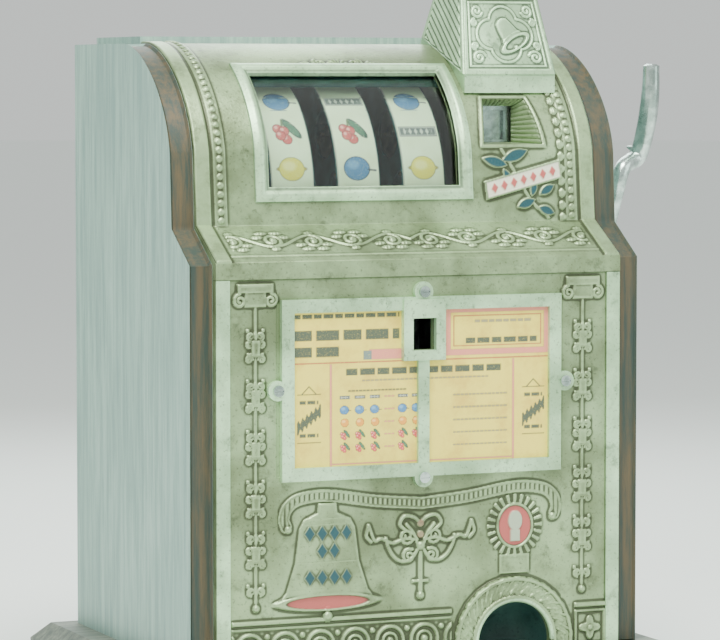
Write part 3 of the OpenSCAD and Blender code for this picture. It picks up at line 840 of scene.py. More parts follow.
SAGE = ((0.33, 0.45, 0.25), (0.155, 0.205, 0.105), (0.035, 0.04, 0.02))
# lighter casting: partly real rubbing, partly painted light, the lit face of the window frame and the
# highlights on the front's side rims
RUBBED_AND_HIGHLIT = ((0.56, 0.82, 0.52), (0.31, 0.46, 0.28), (0.04, 0.06, 0.035))
DARK_IRON = ((0.16, 0.2, 0.19), (0.08, 0.11, 0.1), (0.03, 0.04, 0.04))
# painted shade: the payout cup is coloured near-black teal for the shade inside the mouth
MOUTH_SHADE = ((0.06, 0.13, 0.12), (0.025, 0.07, 0.065), (0.01, 0.03, 0.03))
BOARD_FACE = ((0.34, 0.49, 0.43), (0.20, 0.32, 0.29))
BOARD_EDGE = ((0.085, 0.058, 0.026), (0.018, 0.034, 0.028))
DARK_OAK = ((0.20, 0.22, 0.18), (0.07, 0.09, 0.08))
BACK_OAK = ((0.34, 0.34, 0.28), (0.16, 0.17, 0.14))


class Palette:
    """Every finish of the machine."""

    def __init__(self) -> None:
        """Builds the shared groups and the materials."""
        stain, grain = patina_group(), grain_group()
        self.cast = CastFinish("sage_casting", *SAGE).make(stain)
        self.bright = CastFinish("rubbed_and_highlit_casting", *RUBBED_AND_HIGHLIT, 0.5).make(stain)
        self.plain_cast = CastFinish("plain_casting", *SAGE, relief=False).make(stain)
        self.plain_bright = CastFinish("plain_rubbed_and_highlit_casting", *RUBBED_AND_HIGHLIT, 0.5, relief=False).make(stain)
        self.iron = CastFinish("dark_iron", *DARK_IRON, 0.4, relief=False).make(stain)
        self.cup = CastFinish("mouth_painted_shade", *MOUTH_SHADE, 0.2, relief=False).make(stain)
        self.board = OakFinish("weathered_oak", *BOARD_FACE, *BOARD_EDGE).make(grain)
        self.dark_oak = OakFinish("dark_oak", *DARK_OAK, along=(0.06, 1.0, 1.0)).make(grain)
        self.back_oak = OakFinish("back_oak", *BACK_OAK).make(grain)
        self.steel = SheetMetalFinish("drawn_steel", (0.42, 0.46, 0.45), (0.2, 0.23, 0.22)).make()
        self.nickel = SheetMetalFinish(
            "worn_nickel", (0.62, 0.72, 0.68), (0.3, 0.38, 0.35), 0.95, (0.16, 0.34)
        ).make()
        self.brass = SheetMetalFinish("old_brass", (0.5, 0.4, 0.2), (0.22, 0.19, 0.1)).make()
        # partly painted shade: dark sheet metal, tinted teal to stand for the shade in the gaps between the
        # reels
        self.sheet = SheetMetalFinish(
            "dark_sheet_and_painted_shade", (0.03, 0.10, 0.10), (0.012, 0.05, 0.05), 0.2, (0.4, 0.6)
        ).make()
        self.strip = PrintFinish("reel_paper", (0.84, 0.97, 0.66), (0.76, 0.88, 0.55), 0.45).make()
        self.card = PrintFinish("award_paper", (0.82, 0.66, 0.11), (0.66, 0.46, 0.08), 0.4).make()
        self.glass = GlassFinish("window_glass", (0.90, 0.98, 0.95)).make()


SLOT_FINISH = {
    "oak": "board", "oak_dark": "dark_oak", "cast": "plain_cast", "cast_bright": "plain_bright",
    "nickel": "nickel", "steel": "steel", "brass": "brass", "iron": "iron", "sheet": "sheet",
    "card": "card", "strip": "strip", "glass": "glass",
}
# the payout cup takes the dark finish that paints the shade in the mouth
NODE_FINISH = {"back_door": "back_oak", "payout_cup": "cup", "coin_chute": "nickel"}


def dress_frame(palette: Palette) -> None:
    """Gives every carried-over node the finish of its slot."""
    for entry in frame["record"]["subparts"]:
        node = frame["nodes"][entry["node"]]
        finish = NODE_FINISH.get(entry["node"], SLOT_FINISH[entry["material_slot"]])
        node.data.materials.clear()
        node.data.materials.append(getattr(palette, finish))


# ---- The front ----


@dataclass
class FrontRelief:
    """The ornament of the front casting: columns, garland, bell, lyre, medallion, frieze and mouth ring.

    Lengths, those inside the methods too, are in millimetres; x runs from the machine's middle and z up
    from the stand.
    """

    cabinet: Cabinet
    pitch: float = 0.65
    column_x: float = 142.5
    bell_x: float = -82.0
    medal_x: float = 82.0
    mouth_x: float = 81.0
    mouth_z: float = 58.0
    mouth_r: float = 33.0
    ring_r: float = 53.0

    def column(self, x: Array, z: Array, side: int, out: Relief) -> None:
        """Adds one hanging column: a capital, then leaf knots and three-lobed drops on a thin stem.

        Args:
            x: Across.
            z: Up.
            side: -1 for the left column, 1 for the right.
            out: The relief that it joins.
        """
        u = np.abs(x - side * self.column_x)
        out.raise_to(1.0 * inside(to_box(u, z, -1.0, 1.0, 97, 334)))
        out.raise_to(2.2 * inside(to_box(u, z, -15, 15, 345, 352)))
        out.raise_to(1.6 * inside(to_box(u, z, -9, 9, 334, 346)))
        out.raise_to(1.3 * cord_height(scroll(u, z, 13, 339, 5.5, -1, 90), 1.5))
        for middle in (298.0, 259.0, 218.0, 176.5, 136.0):
            out.raise_to(1.9 * inside(to_box(u, z, -3.6, 3.6, middle - 2, middle + 10)))
            out.raise_to(1.4 * inside(to_box(u, z, -7, 7, middle - 3.5, middle)))
            for lift, hand in ((-5.0, -1), (7.0, 1)):
                out.raise_to(1.3 * cord_height(scroll(u, z, 5.2, middle + lift, 3.2, hand, 180), 1.1))
        for middle in (311.0, 271.5, 232.0, 192.5, 152.0, 110.5):
            out.raise_to(cord_height(to_oval(u, z, 0, middle, 1.6, 4.5) + 1.6, 1.9))
            out.raise_to(1.3 * cord_height(scroll(u, z, 4.0, middle, 3.4, 1, 270), 1.1))
            out.raise_to(cord_height(np.hypot(u - 6.5, z - middle - 4.5), 1.6))
        out.raise_to(cord_height(np.hypot(u, z - 97), 3.2))

    def garland(self, x: Array, z: Array, out: Relief) -> None:
        """Adds the ribbon that hangs over the lower half, with raised rims and a beaded middle."""
        half = [(0, 174), (40, 177.5), (80, 183.5), (104, 182), (115, 176), (119, 167), (117, 160)]
        line = smooth_path(half, 6)
        d = to_line(np.abs(x), z, line)
        out.raise_to(1.0 * inside(d - 4.6))
        out.raise_to(1.9 * inside(np.abs(d - 4.2) - 0.5, 0.4))
        out.raise_to(inside(d - 2.6) * (1.3 + 0.5 * np.sin(x * 1.5)))
        out.raise_to(cord_height(np.hypot(np.abs(x) - 115.5, z - 158), 3.4))

    def bell(self, x: Array, z: Array, out: Relief) -> None:
        """Adds the bell: its half-width widens from cap to lip, and its height is round across."""
        u = x - self.bell_x
        half = np.interp(z, [92, 101, 108, 131, 158, 165, 170, 177], [41, 41, 35, 27.5, 24, 20, 9, 8])
        body = inside(np.maximum(np.abs(u) - half, np.maximum(97 - z, z - 178)), 0.7)
        dome = np.sqrt(np.clip(1 - (u / half) ** 2, 0, 1))
        out.raise_to(body * (0.9 + 1.6 * dome))
        for level, tall in ((165.5, 2.6), (161.0, 2.4), (131.0, 2.6), (110.0, 2.4), (176.5, 2.8)):
            out.raise_to(body * (tall * 0.45 + 1.8 * dome) * inside(np.abs(z - level) - 0.6, 0.5))
        mouth = to_oval(x, z, self.bell_x, 99, 37, 5.6)
        out.height = np.where(mouth < 0, 0.9, out.height)
        out.raise_to(2.9 * inside(np.abs(mouth - 0.4) - 0.8, 0.6))
        out.paint(inside(mouth + 0.4, 0.4), RED)
        out.raise_to(cord_height(np.hypot(u, z - 88), 4.4))
        out.raise_to(2.0 * inside(to_box(u, z, -2.2, 2.2, 83, 96)))
        for level, places in ((154.0, 4), (140.0, 2), (119.0, 4)):
            spread = (np.arange(places) - (places - 1) / 2) * 10.5
            near = np.abs(u[..., None] - spread).min(-1)
            star = near / 4.4 + np.abs(z - level) / 6.4 - 1
            mark = inside(star * 3.0, 0.5)
            out.height = out.height + 0.9 * mark
            out.paint(mark, BLUE)

    def lyre(self, x: Array, z: Array, out: Relief) -> None:
        """Adds the scrolled lyre between the bell and the medallion."""
        u = np.abs(x + 1.5)
        for path in (
            [(0, 158), (6, 163), (14, 164), (18, 158), (13, 153), (7, 150), (3, 145)],
            [(3, 145), (14, 146), (24, 143), (34, 147), (40, 146), (45, 158)],
            [(45, 158), (47, 150), (43, 145)],
            [(2, 138), (8, 130), (16, 128), (23, 132), (28, 140), (30, 147)],
            [(2, 140), (6, 150), (12, 157)],
        ):
            out.raise_to(1.3 * cord_height(to_line(u, z, smooth_path(path, 5)), 1.7))
        out.raise_to(1.2 * cord_height(scroll(u, z, 12, 148, 6.5, 1, 200), 1.6))
        out.raise_to(1.2 * cord_height(scroll(u, z, 10, 132, 6.0, -1, 120), 1.5))
        out.raise_to(1.6 * inside(to_box(u, z, -1.8, 1.8, 100, 140)))
        out.raise_to(1.8 * inside(to_box(u, z, -7, 7, 110.5, 112.5)))
        out.raise_to(cord_height(np.hypot(u, z - 100), 3.4))
        out.raise_to(cord_height(np.hypot(u, z - 140), 4.0))
        for lift in (158.0, 149.0):
            flower = np.hypot(u, z - lift) - 3.0
            out.raise_to(1.8 * inside(flower))
            out.paint(0.55 * inside(flower), RED)

    def medallion(self, x: Array, z: Array, out: Relief) -> None:
        """Adds the oval medal with its rays, its cup and the blank plate under it."""
        u, w = x - self.medal_x, z - 152
        turn = np.arctan2(w, u)
        radius = np.hypot(u, w * 0.95)
        rays = inside(np.abs(radius - 21) - 3.4) * smooth_step(0.0, 0.5, np.cos(turn * 24))
        out.raise_to(1.5 * rays)
        oval = to_oval(x, z, self.medal_x, 152, 15.5, 17.5)
        out.raise_to(2.0 * inside(np.abs(oval) - 0.9))
        out.raise_to(0.5 * inside(oval))
        out.paint(inside(oval + 1.4, 0.4), RED)
        cup = np.minimum(to_oval(x, z, self.medal_x, 156, 6.5, 8.5), to_box(x, z, 77.5, 86.5, 139, 149))
        out.raise_to(2.0 * inside(cup))
        out.paint(inside(cup + 0.3, 0.4), (0.36, 0.42, 0.31))
        plate = to_box(x, z, 69.5, 94, 114, 128)
        out.raise_to(0.8 * inside(plate))
        out.raise_to(1.3 * inside(np.abs(plate) - 0.7))

    def frieze(self, x: Array, z: Array, out: Relief) -> None:
        """Adds the cornice, the rings under it and the corner rosette."""
        left = inside(np.maximum(x - 26, -163 - x))
        out.raise_to(left * 2.2 * inside(np.abs(z - 85.5) - 1.6))
        out.raise_to(left * 1.2 * inside(np.abs(z - 80.5) - 0.7))
        place = (x + 163) % 30 - 15
        ring = np.hypot(place, z - 65) - 11.5
        out.raise_to(left * 1.4 * cord_height(ring, 1.7))
        out.raise_to(left * 1.2 * cord_height(np.hypot(place, z - 65) - 6.0, 1.3))
        out.raise_to(left * cord_height(np.hypot(place, z - 65), 3.2))
        out.raise_to(left * cord_height(np.hypot(np.abs(place) - 15, z - 74), 2.4))
        out.raise_to(left * cord_height(np.hypot(np.abs(place) - 15, z - 57), 2.4))
        corner = to_box(x, z, 137, 163, 51, 79)
        out.raise_to(2.2 * inside(np.abs(corner) - 0.9))
        out.raise_to(2.2 * inside(np.abs(z - 84) - 1.8) * inside(136 - x))
        turn = np.arctan2(z - 65, x - 150)
        petals = np.hypot(x - 150, z - 65) - (7.5 + 2.2 * np.cos(4 * turn))
        out.raise_to(1.6 * inside(petals))
        out.raise_to(cord_height(np.hypot(x - 150, z - 65), 3.0))

    def ring(self, x: Array, z: Array, out: Relief) -> None:
        """Adds the ring round the payout mouth: two rims with leaves between them."""
        u, w = x - self.mouth_x, np.maximum(z - self.mouth_z, 0)
        radius, turn = np.hypot(u, w), np.arctan2(w, u)
        within = inside(radius - self.ring_r)
        ripple = np.sin(turn * 26) * np.sin(radius * 0.75)
        field_height = 3.0 + 0.7 * ripple + 0.5 * np.cos(turn * 52 + radius)
        out.height = np.where(within > 0.5, 0, out.height)
        out.raise_to(within * (field_height - 0.3))
        out.raise_to(within * 4.3 * inside(np.abs(radius - 50.5) - 1.6))
        out.raise_to(within * 4.6 * inside(np.abs(radius - 36) - 1.6))
        out.wear_and_highlight = np.maximum(out.wear_and_highlight, 0.25 * within * inside(np.abs(radius - 36) - 1.6))

    def draw(self, x: Array, z: Array) -> Relief:
        """Draws the whole front."""
        out = Relief.flat(x)
        for side in (-1, 1):
            self.column(x, z, side, out)
        self.garland(x, z, out)
        self.bell(x, z, out)
        self.lyre(x, z, out)
        self.medallion(x, z, out)
        self.frieze(x, z, out)
        self.ring(x, z, out)
        rim = np.abs(np.abs(x) - 162.5) - 0.7
        out.raise_to(-0.3 * inside(rim))
        return out

    def build(self, palette: Palette) -> None:
        """Builds the front in four sheets that meet edge to edge, and the smooth mouth lip."""
        lo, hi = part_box("front_casting")
        face = self.cabinet.front - 0.005
        top, foot = hi[2] / MM, lo[2] / MM

        def place(x: Array, z: Array, height: Array) -> Array:
            """Puts a height in front of the flat face."""
            return stacked(x * MM, face - height * MM, z * MM)

        def mouth(x: Array, z: Array) -> Mask:
            """Tells what lies in the mouth, which is round above its middle and straight below."""
            w = np.maximum(z - self.mouth_z, 0)
            return (np.hypot(x - self.mouth_x, w) < self.mouth_r + 0.6) & (z > foot + 5)

        edge = self.cabinet.cast_half / MM - 11.5
        levels = [foot, 200, 336, top]

        def joined(x: Array, z: Array) -> Mask:
            """Tells where a side sheet meets the lower or the upper one."""
            inner = (z > foot + 0.1) & (z < top - 0.1) & ((z < 199.9) | (z > 336.1))
            return (np.abs(np.abs(x) - 124) < 0.01) & inner

        sheets = {
            "left": ([-edge, -124], levels),
            "right": ([124, edge], levels),
            "lower": ([-124, 124], [foot, 200]),
            "upper": ([-124, 124], [336, top]),
        }
        for label, (across, up) in sheets.items():
            relief_sheet(
                f"front_relief_{label}", spaced(across, self.pitch), spaced(up, self.pitch),
                self.draw, place, palette.cast, hole=mouth, joined=joined,
            )
        self.lip(palette, face)
        for side in (-1, 1):
            self.rim(palette, side, face, foot, top)

    def lip(self, palette: Palette, face: float) -> None:
        """Builds the mouth's rounded lip: a circle of 2.4 mm carried round the arch."""
        turn = np.linspace(0, math.pi, 60)
        x = self.mouth_x + (self.mouth_r + 1.2) * np.cos(turn)
        z = self.mouth_z + (self.mouth_r + 1.2) * np.sin(turn)
        out_x, out_z = np.cos(turn), np.sin(turn)
        around = np.linspace(0, 2 * math.pi, 16, endpoint=False)
        swell = 2.4 * np.cos(around)
        points, faces = closed_sweep(
            stacked(
                (x[:, None] + out_x[:, None] * swell) * MM,
                face + (-2.6 - 2.4 * np.sin(around)) * MM,
                (z[:, None] + out_z[:, None] * swell) * MM,
            )
        )
        build("mouth_lip", points, faces, palette.plain_bright)

    def rim(self, palette: Palette, side: int, face: float, foot: float, top: float) -> None:
        """Builds a side rim: a bar with round edges, 12 mm wide and 2 mm proud."""
        outer = self.cabinet.cast_half / MM
        turn = np.linspace(0, 2 * math.pi, 24, endpoint=False)
        cx, sx = np.cos(turn), np.sin(turn)
        across = outer - 5.9 + 5.9 * np.sign(cx) * np.abs(cx) ** 0.35
        deep = 1.0 + 1.3 * np.sign(sx) * np.abs(sx) ** 0.5
        levels = spaced([foot + 0.2, top - 0.2], 8)
        ring = stacked(side * across * MM, face - (deep + 0.3) * MM, levels[:, None] * MM)
        points, faces = closed_sweep(ring if side < 0 else ring[:, ::-1])
        # the light casting's colour carries a painted highlight on these rims
        build(f"front_rim_{'left' if side < 0 else 'right'}", points, faces, palette.plain_bright)


# ---- The head ----


@dataclass
class CoinHole:
    """The funnel's four flat walls, which close in from the skin to the coin window's pane."""

    cabinet: Cabinet
    x: float = 103.5
    outer_half: float = 29.0
    inner_half: float = 14.0
    outer_z: tuple[float, float] = (-82.0, -34.0)
    inner_z: tuple[float, float] = (-80.5, -50.5)
    outer_y: float = 38.0
    inner_y: float = 77.6

    def share(self, y: Array) -> Array:
        """Gives how far in a depth in metres is, from 0 at the front plane to 1 at the pane."""
        return ((y - self.cabinet.front) / MM - self.outer_y) / (self.inner_y - self.outer_y)

    def half(self, y: Array) -> Array:
        """Gives the half-width at a depth, in millimetres."""
        return self.outer_half + (self.inner_half - self.outer_half) * self.share(y)

    def level(self, y: Array, end: int) -> Array:
        """Gives the lower (0) or upper (1) wall's height at a depth, in metres."""
        drop = self.outer_z[end] + (self.inner_z[end] - self.outer_z[end]) * self.share(y)
        return self.cabinet.top + drop * MM

    def skin(self) -> Array:
        """Gives the part of the head's curve that the hole cuts away, in (y, z)."""
        line = self.cabinet.head_line()
        z = np.linspace(self.cabinet.top - 0.084, self.cabinet.top - 0.034, 500)
        y = np.interp(z, line[:, 1], line[:, 0])
        keep = (z > self.level(y, 0)) & (z < self.level(y, 1))
        return np.stack([y[keep], z[keep]], -1)


@dataclass
class HeadRelief:
    """The ornament of the head casting, drawn over x and the distance along its curve."""

    cabinet: Cabinet
    surface: HeadSurface
    pitch: float = 0.8
    frame_width: float = 0.012
    window_drops: tuple[float, float] = (0.1145, 0.024)

    def __post_init__(self) -> None:
        """Finds where the window and the coin window cross the curve."""
        lo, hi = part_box("window_frame")
        self.win = [v / MM for v in (lo[0] + self.frame_width, hi[0] - self.frame_width)]
        self.win_s = [self.surface.s_of(self.cabinet.top - drop) for drop in self.window_drops]
        self.hole = CoinHole(self.cabinet)
        skin = self.hole.skin()
        self.coin_s = [self.surface.s_of(skin[0, 1]), self.surface.s_of(skin[-1, 1])]

    def draw(self, x: Array, s: Array) -> Relief:
        """Draws the head: shoulder scrolls, beaded side strips, window crest, leaves and banner."""
        out = Relief.flat(x)
        self.shoulder(x, s, out)
        self.strips(x, s, out)
        self.crest(x, s, out)
        self.leaves(x, s, out)
        self.coin_rim(x, s, out)
        return out

    def shoulder(self, x: Array, s: Array, out: Relief) -> None:
        """Adds a running scroll along the shoulder: a wave with a curl in each bay."""
        low, high = 14.0, 44.0
        middle = (low + high) / 2
        band = inside(np.abs(x) - 156) * inside(np.maximum(low - 1 - s, s - high - 1))
        bay = 34.0
        place = np.abs(x) % (2 * bay)
        up = np.where(place < bay, 1.0, -1.0)
        local = place % bay - bay / 2
        wave = middle + 7.5 * up * np.cos(local / bay * math.pi)
        out.raise_to(band * 0.8 * cord_height(np.abs(s - wave), 1.4))
        out.raise_to(band * 0.8 * cord_height(scroll(local, (s - middle) * up, 0, -1.0, 8.5, 1, 90), 1.5))
        for shift, drop, long in (
            (-11.0, -5.5, 5.0), (11.0, -5.5, 5.0), (-6.0, -11.0, 5.5), (6.5, -11.0, 5.5), (0.0, 10.5, 4.0),
        ):
            leaf = to_oval(local, (s - middle) * up, shift, drop, long, 2.4)
            out.raise_to(band * 0.7 * cord_height(leaf + 2.2, 2.2) * (0.8 + 0.2 * np.cos(local * 2.2)))
        out.raise_to(band * cord_height(np.hypot(local, (s - middle) * up + 1.0), 2.0))
        out.raise_to(0.9 * inside(np.abs(s - low + 5) - 0.6) * inside(np.abs(x) - 160))

    def strips(self, x: Array, s: Array, out: Relief) -> None:
        """Adds a plain rim and a strip of beads up each side, with a painted highlight along each rim."""
        outer = self.cabinet.cast_half / MM
        a = np.abs(x)
        out.raise_to(1.6 * inside(np.abs(a - outer + 7) - 6.2, 0.8))
        out.raise_to(0.9 * inside(np.abs(a - 154) - 5.2) * inside(52 - s))
        bead = np.hypot(a - 154, (s + 3) % 7 - 3.5)
        out.raise_to((0.6 + 0.55 * cord_height(bead, 2.8)) * inside(52 - s) * inside(np.abs(a - 154) - 4))
        right = inside(52 - s) * inside(-x)
        shell = to_oval(a - 146, s % 10 - 5, 0, 0, 3.0, 4.0)
        out.raise_to(right * cord_height(shell + 2.0, 2.0) * (0.8 + 0.2 * np.cos((a - 146) * 2.6)))
        # painted highlight: the crest value is raised along the side rims so that they come out
        # light-coloured
        rim = inside(np.abs(a - outer + 7) - 5.6, 0.8)
        out.wear_and_highlight = np.maximum(out.wear_and_highlight, 0.34 * rim)

    def crest(self, x: Array, s: Array, out: Relief) -> None:
        """Adds the low shell above the reel window."""
        middle = sum(self.win) / 2
        base = self.win_s[1] + 10
        u = np.abs(x - middle)
        out.raise_to(0.9 * cord_height(scroll(u, s, 16, base + 4, 6, -1, 60), 1.5))
        out.raise_to(0.9 * cord_height(scroll(u, s, 30, base + 2, 4.5, 1, 120), 1.3))
        fan = np.hypot(u, s - base) - 10
        turn = np.arctan2(s - base, u + 1e-6)
        out.raise_to(inside(fan) * inside(base - s) * (0.8 + 0.6 * np.cos(turn * 14)))

    def leaves(self, x: Array, s: Array, out: Relief) -> None:
        """Adds blue leaves, the red banner across them and their stem, under the coin window."""
        at = self.surface.s_of
        top = self.cabinet.top
        for lx, drop, long, wide, tilt in (
            (104, 0.091, 13, 5.0, 20), (86, 0.096, 12, 4.6, 165), (97, 0.108, 8, 3.4, 120),
            (132, 0.119, 8, 4.0, 30), (113, 0.130, 9, 4.2, 200), (131, 0.136, 8, 4.2, -20),
            (120, 0.118, 7, 3.4, 75),
        ):
            c, n = math.cos(math.radians(tilt)), math.sin(math.radians(tilt))
            u = (x - lx) * c + (s - at(top - drop)) * n
            w = -(x - lx) * n + (s - at(top - drop)) * c
            leaf = np.maximum(np.abs(w) - wide * np.clip(1 - (u / long) ** 2, 0, None), np.abs(u) - long)
            out.raise_to(inside(leaf) * (1.3 + 0.5 * np.abs(w) / wide))
            out.paint(inside(leaf + 0.9, 0.5), BLUE)
            out.raise_to(1.9 * inside(np.abs(w) - 0.35, 0.3) * inside(np.abs(u) - long + 1))
        bends = ((92, 0.085), (104, 0.105), (118, 0.128), (133, 0.142))
        stem = smooth_path([(across, at(top - drop)) for across, drop in bends])
        out.raise_to(cord_height(to_line(x, s, stem), 1.3))
        low, high = at(top - 0.1225), at(top - 0.099)
        slope = (high - low) / 70
        u = (x - 111) + (s - (low + high) / 2) * slope * 0.3
        w = (s - (low + high) / 2) - (x - 111) * slope * 0.75
        banner = to_box(u, w, -35, 35, -7.6, 7.6)
        out.height = np.where(banner < 0.3, 0.9, out.height)
        bare = inside(-banner - 0.3)
        out.enamel[..., 3] *= bare
        out.raise_to(1.2 * inside(banner))
        out.paint(inside(banner + 1.2, 0.4), (0.66, 0.66, 0.52))
        out.raise_to(2.0 * inside(np.abs(banner + 0.6) - 0.7, 0.4))
        place = (u + 31.5) % 9 - 4.5
        mark = np.abs(place) / 3.2 + np.abs(w) / 4.6 - 1
        out.height = out.height + 0.7 * inside(mark * 3) * inside(banner + 3)
        out.paint(inside(mark * 3) * inside(banner + 3), RED)

    def coin_rim(self, x: Array, s: Array, out: Relief) -> None:
        """Adds the plain rim round the coin window."""
        hole = self.to_hole(x, s)
        out.height = np.where(hole < 3.2, 0, out.height)
        out.enamel[..., 3] = np.where(hole < 3.2, 0, out.enamel[..., 3])
        out.raise_to(1.2 * inside(np.abs(hole - 1.6) - 1.3, 0.5))

    def to_hole(self, x: Array, s: Array) -> Array:
        """Signed distance to the coin window's opening, along its nearest side."""
        half = self.hole.half(np.interp(s * MM, self.surface.s, self.surface.y))
        low, high = self.coin_s
        return to_box(x - self.hole.x, s, -half, half, low, high)

    def build(self, palette: Palette) -> None:
        """Builds the head's skin in two sheets, with its two windows left out."""
        half = self.cabinet.cast_half / MM
        along = [0.0, *sorted([*self.win_s, *self.coin_s]), self.surface.total]
        split = self.win[1]

        def gaps(x: Array, s: Array) -> Mask:
            """Tells what lies in a window."""
            reel = (x > self.win[0]) & (x < self.win[1]) & (s > self.win_s[0]) & (s < self.win_s[1])
            return reel | (self.to_hole(x, s) < 0)

        for label, across in (("left", [-half, self.win[0], split]), ("right", [split, half])):
            relief_sheet(
                f"head_relief_{label}", spaced(across, self.pitch), spaced(along, self.pitch),
                self.draw, self.surface.at, palette.cast, hole=gaps,
                joined=lambda x, s: (np.abs(x - split) < 0.01) & (s > 0.1) & (s < self.surface.total - 0.1),
            )


@dataclass
class Funnel:
    """The fluted walls between the coin window and its small pane."""

    cabinet: Cabinet
    flutes: int = 9
    depth: float = 1.3

    def build(self, palette: Palette) -> None:
        """Builds three walls: straight lines from the skin to the pane, with |sin| flutes that fan out."""
        hole = CoinHole(self.cabinet)
        skin = hole.skin()
        rear = self.cabinet.front + hole.inner_y * MM
        p, q = np.meshgrid(np.linspace(0, 1, 120), np.linspace(0, 1, 40))
        row = p * (len(skin) - 1)
        outer_y = np.interp(row, np.arange(len(skin)), skin[:, 0])
        outer_z = np.interp(row, np.arange(len(skin)), skin[:, 1])
        fade = np.sin(q * math.pi) ** 0.35
        rise = self.depth * np.abs(np.sin(p * self.flutes * math.pi)) * fade + 0.15
        y = outer_y + (rear - outer_y) * q
        z = outer_z + (self.cabinet.top + np.interp(p, [0, 1], hole.inner_z) * MM - outer_z) * q
        for label, side in (("left", -1), ("right", 1)):
            x = (hole.x + side * (hole.half(y) - rise)) * MM
            self.wall(palette, label, stacked(x, y, z), rise, side > 0)
        y = skin[-1, 0] + (rear - skin[-1, 0]) * q
        x = (hole.x + (2 * p - 1) * (hole.half(y) - 0.2)) * MM
        self.wall(palette, "top", stacked(x, y, hole.level(y, 1) - rise * MM), rise, False)

    def wall(self, palette: Palette, label: str, points: Array, rise: Array, turned: bool) -> None:
        """Builds one wall from its points, bright where its flutes stand up."""
        faces = grid_faces(*rise.shape)
        faces = faces[:, ::-1] if turned else faces
        build(
            f"funnel_{label}", points.reshape(-1, 3), [faces], palette.cast,
            sharp=None, attributes=bare_metal(0.28 + 0.4 * rise / self.depth),
        )


@dataclass
class WindowFrame:
    """The reel window's frame, in the light casting whose colour partly paints its lit face: a moulding
    carried round a rectangle on the brow.
    """

    surface: HeadSurface
    head: HeadRelief

    def build(self, palette: Palette) -> None:
        """Builds the moulding: steps across it by height, carried round, with the corners mitred."""
        x0, x1 = self.head.win
        s0, s1 = self.head.win_s
        across = np.array([0, 0.0, 0.8, 2.2, 3.6, 5.0, 6.2, 8.0, 9.8, 11.4, 12.0, 12.0])
        rise = np.array([-3.0, 0.6, 1.2, 1.4, 2.6, 3.5, 3.7, 3.5, 2.6, 2.2, 1.4, -0.3])
        corners = np.array([(x0, s0), (x1, s0), (x1, s1), (x0, s1)])
        outward = np.array([(-1, -1), (1, -1), (1, 1), (-1, 1)])
        mitres = corners[..., None] + outward[..., None] * across
        t = np.linspace(0, 1, 70, endpoint=False)[:, None, None]
        rows = mitres[:, None] * (1 - t) + np.roll(mitres, -1, axis=0)[:, None] * t
        x, s = (rows[:, :, k].reshape(-1, across.size) for k in (0, 1))
        points = self.surface.at(x, s, np.broadcast_to(rise, x.shape)).reshape(-1, 3)
        faces = grid_faces(*x.shape, wrap_rows=True)[:, ::-1]
        crest = np.broadcast_to(0.5 + 0.12 * (rise > 3.0) - 0.2 * (np.abs(rise - 1.3) < 0.3), x.shape)
        frame_piece = build(
            "window_moulding", points, [faces], palette.bright,
            sharp=35.0, attributes=bare_metal(crest),
        )
        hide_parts("window_frame")


